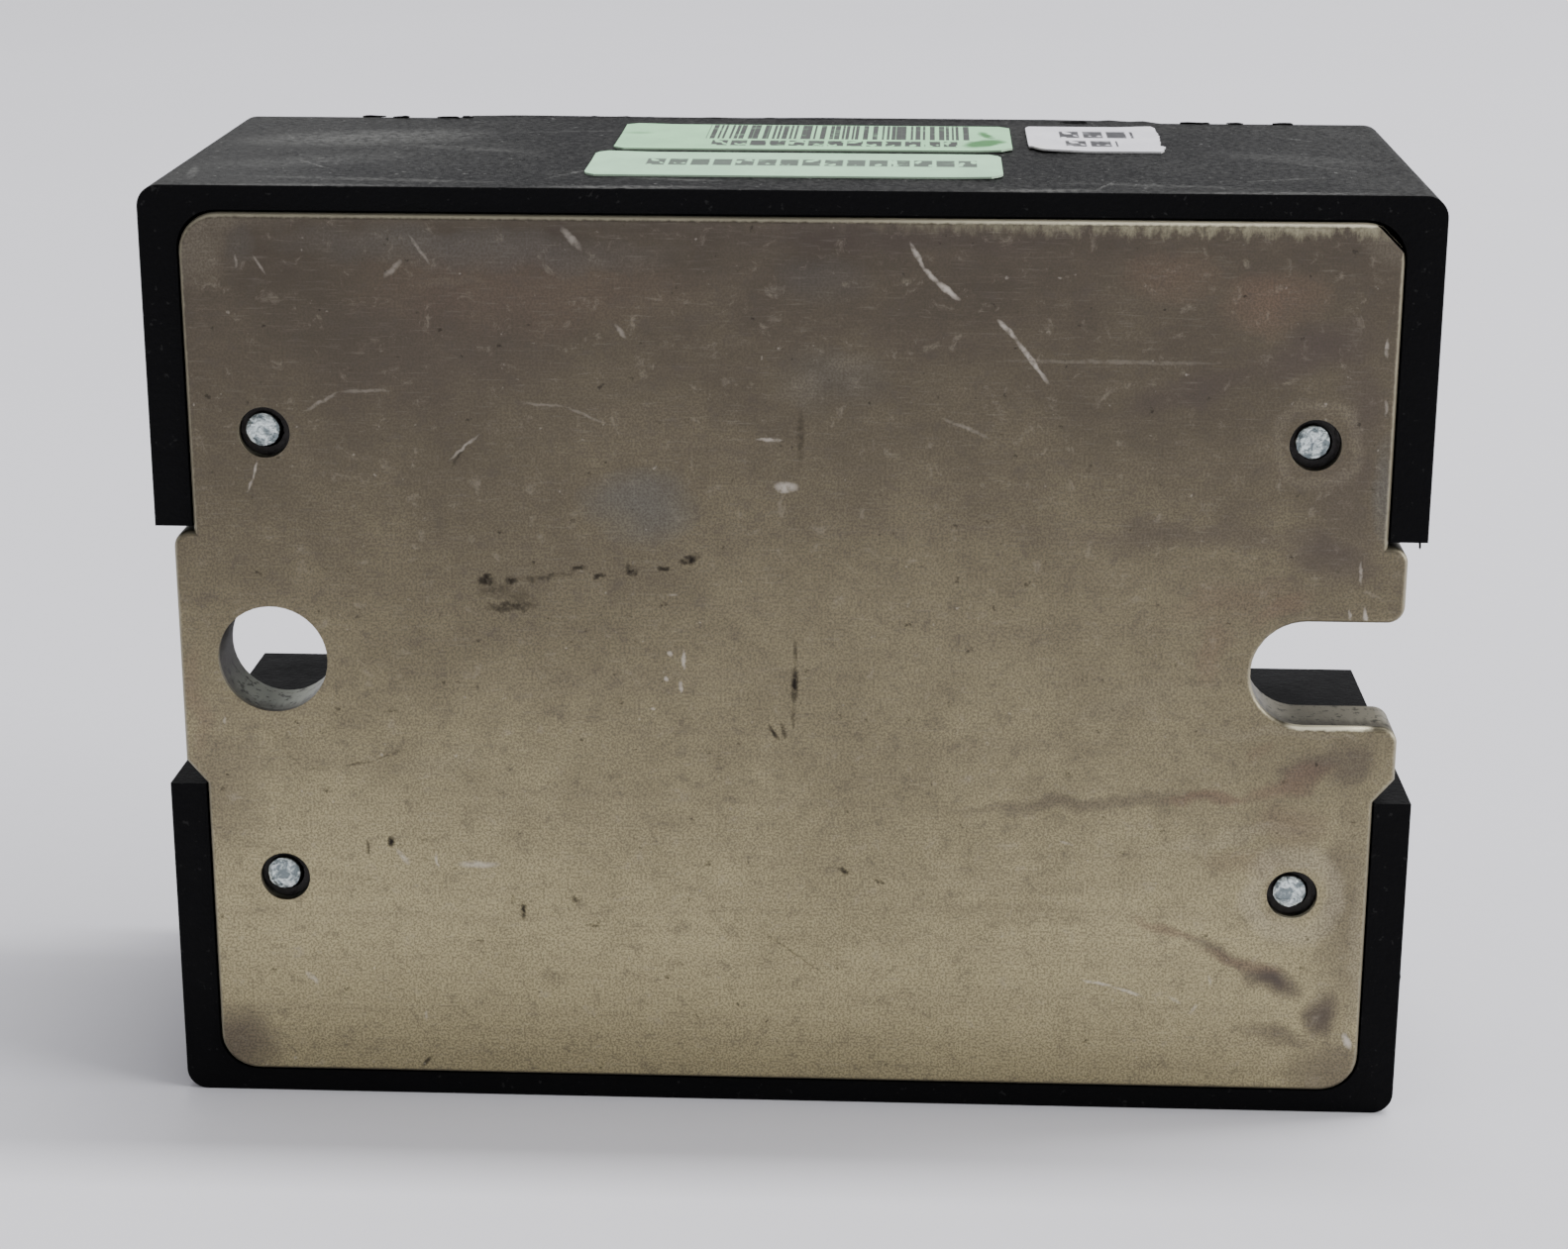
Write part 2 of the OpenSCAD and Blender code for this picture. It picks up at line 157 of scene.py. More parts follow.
def put(tree, socket, value):
    """Links a socket to another node's output, or sets its value."""
    if isinstance(value, bpy.types.NodeSocket):
        tree.links.new(value, socket)
    else:
        socket.default_value = value


def calc(tree, operation, *values):
    item = tree.nodes.new("ShaderNodeMath")
    item.operation = operation
    for socket, value in zip(item.inputs, values):
        put(tree, socket, value)
    return item.outputs[0]


def times(tree, *factors):
    """The product of several values."""
    result = factors[0]
    for factor in factors[1:]:
        result = calc(tree, "MULTIPLY", result, factor)
    return result


def vector_calc(tree, operation, *values):
    item = tree.nodes.new("ShaderNodeVectorMath")
    item.operation = operation
    for socket, value in zip(item.inputs, values):
        put(tree, socket, value)
    return item.outputs["Value" if operation in ("DOT_PRODUCT", "LENGTH", "DISTANCE") else "Vector"]


def remap(tree, value, low, high, to_low=0.0, to_high=1.0):
    """Smooth step of a value from one range to another."""
    item = tree.nodes.new("ShaderNodeMapRange")
    item.interpolation_type = "SMOOTHSTEP"
    numbers = {"Value": value, "From Min": low, "From Max": high, "To Min": to_low, "To Max": to_high}
    for name, number in numbers.items():
        put(tree, item.inputs[name], number)
    return item.outputs["Result"]


def mix(tree, factor, low, high):
    """Blends two colours."""
    item = tree.nodes.new("ShaderNodeMix")
    item.data_type = "RGBA"
    for socket, value in zip((item.inputs[0], item.inputs[6], item.inputs[7]), (factor, low, high)):
        put(tree, socket, (*value, 1) if isinstance(value, tuple) and len(value) == 3 else value)
    return item.outputs[2]


def noise(tree, coords, scale, detail=4.0, roughness=0.55, distortion=0.0):
    item = add(tree, "ShaderNodeTexNoise", Vector=coords, Scale=scale, Detail=detail,
               Roughness=roughness, Distortion=distortion)
    return item.outputs["Fac"]


def split(tree, coords):
    return add(tree, "ShaderNodeSeparateXYZ", Vector=coords).outputs


def join(tree, x, y, z=0.0):
    return add(tree, "ShaderNodeCombineXYZ", X=x, Y=y, Z=z).outputs[0]


def most(tree, values):
    """The largest of several masks."""
    result = values[0]
    for value in values[1:]:
        result = calc(tree, "MAXIMUM", result, value)
    return result


def inside(tree, value, low, high, soft=0.00005):
    """1 where a value lies between two limits."""
    above = remap(tree, value, low - soft, low + soft)
    below = remap(tree, value, high + soft, high - soft)
    return times(tree, above, below)


def new_group(name, inputs, outputs):
    """An empty node group with named sockets, given as (name, kind, default)."""
    group = bpy.data.node_groups.new(name, "ShaderNodeTree")
    kinds = {"value": "NodeSocketFloat", "vector": "NodeSocketVector", "colour": "NodeSocketColor"}
    for label, kind, default in inputs:
        socket = group.interface.new_socket(name=label, in_out="INPUT", socket_type=kinds[kind])
        if default is not None:
            socket.default_value = default
    for label, kind in outputs:
        group.interface.new_socket(name=label, in_out="OUTPUT", socket_type=kinds[kind])
    entry = group.nodes.new("NodeGroupInput")
    leave = group.nodes.new("NodeGroupOutput")
    return group, entry.outputs, leave.inputs


def use(tree, group, **sockets):
    """Places a node group with its own values and returns its outputs."""
    item = tree.nodes.new("ShaderNodeGroup")
    item.node_tree = group
    for name, value in sockets.items():
        put(tree, item.inputs[name.replace("_", " ")], value)
    return item.outputs


def mark_group():
    """Mask of one oval mark. Along and Across are its axes, each divided by its half size."""
    group, given, result = new_group(
        "mark",
        [("Position", "vector", None), ("Centre", "vector", None), ("Along", "vector", None),
         ("Across", "vector", None), ("Strength", "value", 1.0), ("Fall", "value", -1.0)],
        [("Mask", "value")])
    offset = vector_calc(group, "SUBTRACT", given["Position"], given["Centre"])
    along = vector_calc(group, "DOT_PRODUCT", offset, given["Along"])
    across = vector_calc(group, "DOT_PRODUCT", offset, given["Across"])
    reach = calc(group, "MULTIPLY_ADD", along, along, times(group, across, across))
    mask = calc(group, "MULTIPLY_ADD", reach, given["Fall"], given["Strength"])
    put(group, result["Mask"], mask)
    return group


def ring_group():
    """Mask of a circle of a given radius and width round a centre."""
    group, given, result = new_group(
        "ring",
        [("Position", "vector", None), ("Centre", "vector", None), ("Radius", "value", 0.001),
         ("Width", "value", 0.0001), ("Fray", "value", 0.5)],
        [("Mask", "value")])
    distance = vector_calc(group, "DISTANCE", given["Position"], given["Centre"])
    gap = calc(group, "ABSOLUTE", calc(group, "SUBTRACT", distance, given["Radius"]))
    width = times(group, given["Width"], calc(group, "MULTIPLY_ADD", given["Fray"], 1.6, 0.2))
    put(group, result["Mask"], remap(group, calc(group, "DIVIDE", gap, width), 1.0, 0.2))
    return group


def mottle_group():
    """Cloudy mask made of broad and fine noise, for tarnish, dust and moulded skins."""
    group, given, result = new_group(
        "mottle", [("Position", "vector", None), ("Broad", "value", 90.0), ("Fine", "value", 900.0),
                   ("Low", "value", 0.35), ("High", "value", 0.65)], [("Mask", "value")])
    broad = noise(group, given["Position"], given["Broad"], 6.0, 0.6, 0.4)
    fine = noise(group, given["Position"], given["Fine"], 3.0, 0.6)
    mixed = calc(group, "ADD", times(group, broad, 0.7), times(group, fine, 0.3))
    put(group, result["Mask"], remap(group, mixed, given["Low"], given["High"]))
    return group


def grain_group():
    """Value of fine lines drawn along X, as a brushed or rolled sheet has."""
    group, given, result = new_group(
        "grain", [("Position", "vector", None), ("Along", "value", 60.0), ("Across", "value", 2600.0)],
        [("Value", "value")])
    x, y, z = split(group, given["Position"])
    squeezed = join(group, times(group, x, given["Along"]), times(group, y, given["Across"]),
                    times(group, z, given["Across"]))
    put(group, result["Value"], noise(group, squeezed, 1.0, 4.0, 0.65))
    return group


def print_group():
    """Mask of one row of unreadable printed blocks, for a line of greeked text."""
    group, given, result = new_group(
        "greeked_row",
        [("Position", "vector", None), ("Left", "value", 0.0), ("Right", "value", 0.01),
         ("Base", "value", 0.0), ("Height", "value", 0.001), ("Pitch", "value", 0.001),
         ("Ink", "value", 0.42)],
        [("Mask", "value")])
    x, y, z = split(group, given["Position"])
    step = calc(group, "DIVIDE", calc(group, "SUBTRACT", x, given["Left"]), given["Pitch"])
    level = calc(group, "DIVIDE", calc(group, "SUBTRACT", y, given["Base"]), given["Height"])
    from_middle = calc(group, "SUBTRACT", calc(group, "FRACT", step), 0.5)
    gap = remap(group, calc(group, "ABSOLUTE", from_middle), 0.44, 0.38)
    row = times(group, remap(group, level, 0.0, 0.12), remap(group, level, 1.0, 0.88))
    right_of_start = calc(group, "GREATER_THAN", x, given["Left"])
    left_of_end = calc(group, "LESS_THAN", x, given["Right"])
    jump = times(group, calc(group, "FLOOR", step), 5.7)
    place_in_noise = join(group, calc(group, "MULTIPLY_ADD", step, 2.3, jump), times(group, level, 2.1))
    shape = noise(group, place_in_noise, 1.0, 0.0)
    blank = calc(group, "SUBTRACT", given["Ink"], 0.03)
    full = calc(group, "ADD", given["Ink"], 0.03)
    shape = remap(group, shape, blank, full)
    put(group, result["Mask"], times(group, gap, row, right_of_start, left_of_end, shape))
    return group


MARK = mark_group()
RING = ring_group()
MOTTLE = mottle_group()
GRAIN = grain_group()
PRINT = print_group()


def ragged(tree, flat, scale, reach, detail=3.0):
    """Coordinates shaken by noise, so that what is drawn on them gets a ragged outline."""
    shake = add(tree, "ShaderNodeTexNoise", Vector=flat, Scale=scale, Detail=detail).outputs["Color"]
    shake = vector_calc(tree, "SUBTRACT", shake, (0.5, 0.5, 0.5))
    return vector_calc(tree, "MULTIPLY_ADD", shake, (reach * MM, reach * MM, 0), flat)


def spots(tree, flat, marks):
    """Mask of oval marks, each given in mm as (x, y, half length, half width, turn in degrees, strength)."""
    result = 0.0
    for x, y, long, wide, turn, strength in marks:
        way = Vector((math.cos(math.radians(turn)), math.sin(math.radians(turn)), 0))
        mask = use(tree, MARK, Position=flat, Centre=(x * MM, y * MM, 0), Along=way / (long * MM),
                   Across=Vector((-way.y, way.x, 0)) / (wide * MM), Strength=strength, Fall=-strength)[0]
        result = calc(tree, "MAXIMUM", mask, result)
    return result


def lines(tree, flat, marks):
    """Mask of scratches, each given in mm as (x0, y0, x1, y1, half width, strength)."""
    return spots(tree, flat, [
        ((x0 + x1) / 2, (y0 + y1) / 2, math.dist((x0, y0), (x1, y1)) / 2 + wide, wide,
         math.degrees(math.atan2(y1 - y0, x1 - x0)), strength)
        for x0, y0, x1, y1, wide, strength in marks])


def rings(tree, flat, fray, marks):
    """Mask of circles, each given in mm as (x, y, radius, half width, strength)."""
    result = 0.0
    for x, y, radius, width, strength in marks:
        mask = use(tree, RING, Position=flat, Centre=(x * MM, y * MM, 0), Radius=radius * MM,
                   Width=width * MM, Fray=fray)[0]
        result = calc(tree, "MAXIMUM", times(tree, mask, strength), result)
    return result


def new_material(name):
    """A material with an empty Principled shader. Returns it, its tree, shader and Object coordinates."""
    material = bpy.data.materials.new(name)
    material.use_nodes = True
    tree = material.node_tree
    shader = tree.nodes["Principled BSDF"]
    where = tree.nodes.new("ShaderNodeTexCoord").outputs["Object"]
    return material, tree, shader, where


def bump(tree, shader, height, distance, strength=1.0):
    item = add(tree, "ShaderNodeBump", Height=height, Distance=distance, Strength=strength)
    tree.links.new(item.outputs[0], shader.inputs["Normal"])


def facing(tree):
    """The three parts of the surface's own direction."""
    return split(tree, tree.nodes.new("ShaderNodeNewGeometry").outputs["Normal"])


# ---------------------------------------------------------------- the plate's finish

HOLE = (-23.8, 0.0)
PINS = [(-23.7, 10.8), (23.7, 10.8), (-23.7, -10.8), (23.7, -10.8)]

# Marks on the plate, in mm from its centre. A line is (x0, y0, x1, y1, half width, strength).
# Scratches, bright where they cut through the tarnish.
SCRATCHES = [
    (5.5, 19.7, 6.1, 18.6, 0.13, 0.75), (6.1, 18.6, 6.7, 18.0, 0.14, 0.8),
    (6.7, 18.0, 7.6, 17.3, 0.17, 0.95), (9.45, 16.3, 10.2, 15.5, 0.14, 0.9),
    (10.2, 15.5, 11.7, 13.5, 0.13, 0.85), (9.0, 14.5, 20.1, 14.5, 0.12, 0.15),
    (26.6, 15.6, 26.6, 14.9, 0.11, 0.6), (26.7, 12.9, 26.75, 12.2, 0.08, 0.4),
    (-24.1, 9.4, -24.3, 8.6, 0.09, 0.7), (-24.3, 8.6, -24.6, 8.05, 0.08, 0.5),
    (-13.9, 10.85, -15.3, 9.6, 0.09, 0.5), (-21.8, 11.8, -20.2, 12.75, 0.1, 0.3),
    (-20.2, 12.75, -17.9, 12.8, 0.1, 0.25), (-11.9, 12.3, -10.0, 12.2, 0.08, 0.25),
    (-10.0, 12.2, -8.15, 11.4, 0.08, 0.25), (6.9, 11.9, 9.3, 10.9, 0.1, 0.22),
    (-23.8, 18.9, -23.3, 18.1, 0.08, 0.4), (-24.6, 18.9, -24.6, 18.4, 0.07, 0.3),
    (-1.3, 10.75, -0.2, 10.75, 0.1, 0.7), (-0.3, 8.55, 0.3, 8.55, 0.3, 0.8),
    (-5.35, 0.6, -5.3, 0.5, 0.14, 0.8), (-4.7, 0.7, -4.7, -0.2, 0.1, 0.75),
    (-5.55, -0.6, -5.5, -0.7, 0.12, 0.8), (-4.85, -0.75, -4.85, -1.3, 0.1, 0.75),
    (-6.2, -2.1, -6.1, -2.1, 0.09, 0.6), (-5.45, 3.4, -4.9, 3.4, 0.07, 0.3),
    (-18.3, -9.4, -17.8, -10.0, 0.16, 0.5), (-15.3, -10.0, -13.6, -10.0, 0.22, 0.6),
    (-16.5, -9.5, -16.4, -10.2, 0.07, 0.6), (-17.2, -17.6, -17.2, -18.1, 0.08, 0.5),
    (-22.9, -15.7, -22.4, -16.2, 0.15, 0.55), (14.05, -15.3, 15.5, -15.6, 0.1, 0.75),
    (15.5, -15.6, 16.95, -16.1, 0.1, 0.7), (18.2, -16.1, 18.7, -16.4, 0.1, 0.4),
    (19.2, -16.9, 19.5, -16.5, 0.1, 0.4), (20.0, -15.0, 20.1, -15.4, 0.1, 0.4),
    (26.5, -17.9, 26.8, -18.5, 0.2, 0.9), (26.0, 5.4, 26.05, 4.4, 0.09, 0.5),
    (25.6, 3.2, 25.7, 2.6, 0.08, 0.5), (26.3, 3.2, 26.4, 2.5, 0.13, 0.75),
    (-16.8, 19.9, -15.9, 18.6, 0.09, 0.35), (-17.9, 18.0, -17.2, 18.7, 0.15, 0.35),
    (-9.9, 20.2, -9.2, 19.4, 0.2, 0.45), (-7.6, 15.9, -7.2, 15.4, 0.12, 0.35),
    (-26.2, -2.9, -26.2, -3.2, 0.08, 0.4), (12.8, -8.3, 13.4, -8.5, 0.08, 0.4),
]
# Rubbed streaks and a hair crack.
DARK_LINES = [
    (0.65, 12.1, 0.65, 9.6, 0.22, 0.35), (0.45, 1.35, 0.45, 0.0, 0.12, 0.45),
    (0.45, 0.0, 0.4, -1.7, 0.2, 0.8), (0.35, -1.7, 0.35, -3.2, 0.1, 0.35),
    (-0.8, -2.85, -0.3, -3.55, 0.11, 0.7), (-0.2, -2.7, 0.0, -3.5, 0.12, 0.6),
    (-22.9, -5.4, -20.9, -5.25, 0.06, 0.3), (-20.9, -5.25, -19.3, -4.9, 0.07, 0.4),
    (-19.3, -4.9, -17.6, -4.25, 0.06, 0.35), (-24.3, -2.9, -23.6, -4.3, 0.05, 0.2),
    (-23.6, -4.3, -22.6, -5.3, 0.05, 0.25), (-19.7, -8.9, -19.7, -9.6, 0.09, 0.6),
    (-18.6, -8.8, -18.6, -9.1, 0.2, 0.8), (-12.4, -11.9, -12.4, -12.7, 0.14, 0.75),
    (-9.4, -13.0, -8.8, -13.0, 0.1, 0.7), (-14.7, -13.9, -14.3, -13.9, 0.08, 0.5),
    (-17.0, -19.9, -17.5, -20.5, 0.14, 0.6), (-14.6, 10.2, -15.2, 9.3, 0.1, 0.4),
    (-1.4, -12.9, 2.3, -15.6, 0.05, 0.35), (-12.9, -11.6, -12.9, -11.9, 0.1, 0.5),
    (2.6, -9.9, 2.9, -10.1, 0.16, 0.7), (4.2, -10.4, 4.7, -10.6, 0.12, 0.6),
]
# Pits, as (x, y, half length, half width, turn in degrees, strength).
DARK_SPOTS = [
    (-13.75, 4.0, 0.5, 0.24, 10, 0.75), (-12.6, 3.9, 0.4, 0.24, 5, 0.7), (-9.5, 4.6, 0.4, 0.16, 5, 0.7),
    (-8.5, 4.25, 0.35, 0.2, 5, 0.7), (-7.1, 4.5, 0.35, 0.28, 5, 0.75), (-5.6, 4.7, 0.35, 0.2, 5, 0.7),
    (-4.4, 5.1, 0.55, 0.28, 15, 0.85), (-11.0, 4.2, 1.6, 0.16, 8, 0.4),
    (-12.6, 2.75, 1.3, 0.26, 3, 0.6), (-13.4, 3.5, 0.9, 0.5, 0, 0.35), (-12.3, 3.2, 0.8, 0.4, 0, 0.3),
    (-9.9, -11.7, 0.3, 0.14, 5, 0.5),
]
# Tarnish in oval patches, each given as (x, y, half length, half width, turn in degrees, strength).
PURPLE_STAINS = [
    (23.6, 15.1, 3.4, 1.4, 12, 0.5), (25.7, 12.6, 1.0, 2.6, 12, 0.4), (25.9, 9.6, 0.7, 1.8, -6, 0.35),
    (18.4, 13.3, 4.2, 0.7, 16, 0.35), (24.4, 5.8, 2.8, 1.5, -22, 0.5), (18.5, 6.6, 6.5, 0.8, 2, 0.3),
    (24.6, -4.6, 2.6, 0.8, 22, 0.45), (26.1, -4.3, 1.3, 1.5, 0, 0.4),
    (22.9, -15.1, 1.6, 0.9, -25, 0.65), (25.4, -16.8, 1.1, 1.6, 20, 0.6),
    (20.5, -13.9, 2.4, 0.55, -22, 0.45), (23.4, -17.9, 2.6, 0.7, -12, 0.35),
    (-26.6, -19.4, 2.6, 2.6, 0, 0.5), (26.3, -19.8, 2.8, 2.0, 0, 0.4), (25.8, -9.2, 1.0, 2.2, 0, 0.3),
    (5.0, 20.0, 12.0, 0.7, 0, 0.3), (-15.0, 15.0, 7.0, 4.0, 20, 0.2), (14.0, -6.5, 7.0, 0.5, 2, 0.35),
    (26.3, -12.5, 1.5, 7.5, 0, 0.3), (-26.4, -6.4, 2.2, 4.6, 0, 0.22), (25.2, 8.0, 1.5, 3.4, 18, 0.3),
]
PINK_STAINS = [
    (21.5, 17.4, 2.8, 1.7, 0, 0.5), (17.0, 18.4, 2.6, 1.3, 0, 0.3), (22.7, 3.1, 1.9, 0.55, 22, 0.45),
    (19.6, 1.0, 0.9, 1.9, -12, 0.35), (20.2, 3.6, 3.5, 1.0, 8, 0.25), (23.2, -5.4, 2.8, 0.7, 20, 0.6),
    (19.6, -6.4, 2.4, 0.4, 4, 0.65), (23.5, -7.4, 1.7, 1.3, 0, 0.35), (17.8, -12.7, 1.9, 0.4, -24, 0.6),
    (21.6, -14.3, 2.2, 0.5, -10, 0.5), (-27.4, -1.8, 0.6, 3.2, 0, 0.35),
    (-12.0, 17.5, 9.0, 2.6, 0, 0.18), (21.6, -9.2, 2.4, 0.7, 0, 0.25), (22.0, -3.9, 0.7, 0.3, 10, 0.3),
]
BLUE_STAINS = [
    (-6.6, 7.7, 3.0, 1.9, 0, 0.55), (27.0, 8.6, 0.7, 2.6, 0, 0.5), (-14.0, 19.3, 9.5, 1.1, -2, 0.35),
    (1.5, 18.0, 2.2, 1.4, 0, 0.2), (2.0, 13.5, 3.0, 1.6, 0, 0.2), (-24.6, 19.3, 1.0, 1.0, 0, 0.2),
]
PALE_STAINS = [
    (-26.8, 19.6, 1.6, 2.4, 0, 0.4), (-25.4, 20.6, 3.4, 0.8, 0, 0.3), (1.0, 13.1, 2.2, 0.7, 8, 0.16),
    (2.6, 14.2, 1.1, 0.5, 40, 0.2), (22.8, -2.9, 3.8, 0.4, 0, 0.3), (20.8, -8.0, 4.4, 0.5, 8, 0.35),
    (26.9, -13.5, 0.5, 5.0, 0, 0.4), (26.7, 19.8, 1.6, 1.0, -40, 0.3), (-6.4, 13.6, 0.3, 0.2, 0, 0.4),
    (2.5, 17.7, 0.25, 0.2, 0, 0.5), (5.3, 18.0, 0.3, 0.2, 0, 0.5), (6.6, 15.2, 0.3, 0.2, 0, 0.4),
    (20.3, 19.2, 0.3, 0.15, -30, 0.6), (22.5, 13.9, 0.2, 0.2, 0, 0.4), (-15.0, 17.9, 1.6, 0.3, 5, 0.16),
    (-20.8, 16.2, 0.3, 0.16, -30, 0.5), (16.0, -1.5, 3.0, 0.8, 20, 0.15),
    (-16.0, -5.0, 2.5, 0.7, 10, 0.15),
]


# Each kind of tarnish: how strong it is, its colour and its patches.
STAINS = [
    (1.5, (0.095, 0.075, 0.066), PURPLE_STAINS),
    (1.0, (0.225, 0.15, 0.104), PINK_STAINS),
    (1.1, (0.140, 0.140, 0.132), BLUE_STAINS),
    (0.5, (0.46, 0.41, 0.30), PALE_STAINS),
]
# Clouding round the two pins at the right, as (x, y, radius, half width, strength).
PIN_HALOES = [(*PINS[3], 1.9, 0.8, 0.24), (*PINS[1], 1.8, 0.5, 0.07)]

# The height in mm where the darkening begins, the height over which it deepens, and how it does so. The
# darkening is partly tarnish and partly a painted dark reflection.
TARNISH_AND_REFLECTION_FOOT = -15.5
TARNISH_AND_REFLECTION_SPAN = 36.3
BARE_AND_LIT_AT_TOP = 0.165
TARNISH_AND_REFLECTION_CURVE = 1.19

# The colours of the plate.
BARE_METAL = (0.478, 0.417, 0.238)
# Tarnish together with a painted dark reflection, at the top of the plate.
DEEP_TARNISH_AND_DARK_REFLECTION = (0.014, 0.007, 0.023)
DARKER_FOOT = (0.25, 0.21, 0.12)
ROLLED_LINE = (0.16, 0.13, 0.10)
CLOUDED_METAL = (0.58, 0.52, 0.39)
DARK_SPECK = (0.080, 0.068, 0.052)
BRIGHT_GRAIN = (0.50, 0.46, 0.38)
DARK_BLOTCH = (0.10, 0.085, 0.070)
PALE_BLOTCH = (0.42, 0.37, 0.29)
PIT_BOTTOM = (0.03, 0.025, 0.02)
FRESH_SCRATCH = (0.58, 0.53, 0.45)
BENT_EDGE = (0.16, 0.14, 0.095)
# Up-facing rounded edge, painted darker: painted shade over the tarnish.
TARNISHED_AND_SHADED_UPPER_EDGE = (0.030, 0.026, 0.017)
PALE_TOP_STREAKS = (0.50, 0.47, 0.31)
# Worn bright edge with a painted highlight.
WORN_AND_HIGHLIT_LIP = (0.96, 0.89, 0.66)
SLOT_WALL = (0.28, 0.26, 0.20)
HOLE_WALL = (0.50, 0.52, 0.44)
SHADED_WALL = (0.060, 0.052, 0.038)
BURR = (0.03, 0.028, 0.02)


def worn_plate():
    """Plated metal: brushed, darker towards the top (partly tarnish, partly a painted dark reflection),
    stained round the slot and scratched, with painted shade and highlight on its rounded edge.
    """
    material, tree, shader, where = new_material("worn_plate")
    x, y, z = split(tree, where)
    flat = join(tree, x, z)
    loose = ragged(tree, flat, 420.0, 2.2, 5.0)
    frayed = ragged(tree, flat, 3000.0, 0.22)
    cloud = use(tree, MOTTLE, Position=flat, Broad=60.0, Fine=420.0, Low=0.36, High=0.64)[0]
    fray = noise(tree, flat, 3200.0, 2.0)
    speckle = noise(tree, where, 9500.0, 2.0, 0.6)
    grain = use(tree, GRAIN, Position=where, Along=700.0, Across=9000.0)[0]
    broad_grain = use(tree, GRAIN, Position=where, Along=60.0, Across=1300.0)[0]

    # Bare at the foot and darker towards the top, partly tarnish and partly a painted dark reflection, with
    # stains, specks and blotches over that.
    height = calc(tree, "ADD", z, calc(tree, "MULTIPLY_ADD", cloud, 6.0 * MM, -3.0 * MM))
    rise = calc(tree, "MULTIPLY_ADD", height, 1 / (TARNISH_AND_REFLECTION_SPAN * MM), -TARNISH_AND_REFLECTION_FOOT / TARNISH_AND_REFLECTION_SPAN)
    rise = calc(tree, "MAXIMUM", rise, 0.0)
    bare_and_lit = calc(tree, "POWER", BARE_AND_LIT_AT_TOP, calc(tree, "POWER", rise, TARNISH_AND_REFLECTION_CURVE))
    colour = mix(tree, bare_and_lit, DEEP_TARNISH_AND_DARK_REFLECTION, BARE_METAL)
    # Darker along the bottom edge.
    colour = mix(tree, remap(tree, height, -13.5 * MM, -21.0 * MM, 0.0, 0.3), colour, DARKER_FOOT)
    colour = mix(tree, times(tree, remap(tree, broad_grain, 0.42, 0.72), 0.2), colour, ROLLED_LINE)
    for strength, stain, patches in STAINS:
        colour = mix(tree, times(tree, spots(tree, loose, patches), strength), colour, stain)
    colour = mix(tree, rings(tree, loose, 0.5, PIN_HALOES), colour, CLOUDED_METAL)
    colour = mix(tree, times(tree, remap(tree, speckle, 0.62, 0.38), 0.55), colour, DARK_SPECK)
    colour = mix(tree, times(tree, remap(tree, grain, 0.52, 0.76), 0.13), colour, BRIGHT_GRAIN)
    blotch = noise(tree, loose, 1100.0, 5.0, 0.75)
    colour = mix(tree, times(tree, remap(tree, blotch, 0.50, 0.70), 0.45), colour, DARK_BLOTCH)
    colour = mix(tree, times(tree, remap(tree, blotch, 0.44, 0.28), 0.26), colour, PALE_BLOTCH)

    # Pits and streaks, then scratches and dust.
    pits = times(tree, remap(tree, noise(tree, flat, 1500.0, 3.0, 0.6), 0.66, 0.74), 0.6)
    chipped = ragged(tree, flat, 2300.0, 0.75, 5.0)
    broken = remap(tree, fray, 0.3, 0.55, 0.35, 1.0)
    spotted = times(tree, spots(tree, chipped, DARK_SPOTS), 1.3)
    streaked = times(tree, lines(tree, frayed, DARK_LINES), 1.3)
    dark = times(tree, most(tree, [spotted, streaked, pits]), broken)
    colour = mix(tree, dark, colour, PIT_BOTTOM)
    dust = times(tree, remap(tree, noise(tree, flat, 2100.0, 2.0, 0.6), 0.70, 0.80), 0.35)
    bright = most(tree, [times(tree, lines(tree, frayed, SCRATCHES), 0.88, broken), dust])
    colour = mix(tree, bright, colour, FRESH_SCRATCH)

    # The rounded edge of the face: tarnished, painted darker where it faces up (painted shade), worn bright
    # with a painted highlight where it faces up along the top and in the slot, and paler where it faces
    # sideways (wear and painted highlight).
    across, out, up = facing(tree)
    near_face = calc(tree, "LESS_THAN", y, 0.4 * MM)
    # Paler in streaks just below the top edge, more so to the right.
    streaks = noise(tree, join(tree, times(tree, x, 2.2), z), 800.0, 5.0, 0.75)
    bleed = remap(tree, calc(tree, "MULTIPLY_ADD", streaks, 2.6 * MM, z), 21.3 * MM, 22.4 * MM)
    bleed = times(tree, bleed, remap(tree, x, 0.0, 18.0 * MM, 0.05, 1.0))
    top_wear_and_highlight = times(tree, remap(tree, z, 15.0 * MM, 16.0 * MM), remap(tree, x, 0.0, 16.0 * MM, 0.3, 1.0))
    in_slot = inside(tree, x, 23.2 * MM, 26.8 * MM, 0.4 * MM)
    slot_wear_and_highlight = times(tree, remap(tree, z, 0.0, -1.0 * MM), in_slot)
    wear_and_highlight_zone = most(tree, [top_wear_and_highlight, slot_wear_and_highlight, 0.04])
    # The rounded edge is tarnished, and painted darker where it faces up: painted shade.
    bent = times(tree, remap(tree, calc(tree, "ABSOLUTE", out), 0.97, 0.8), near_face)
    tarnish_and_shade = mix(tree, remap(tree, up, 0.3, 0.8), BENT_EDGE, TARNISHED_AND_SHADED_UPPER_EDGE)
    colour = mix(tree, times(tree, bent, 0.9), colour, tarnish_and_shade)
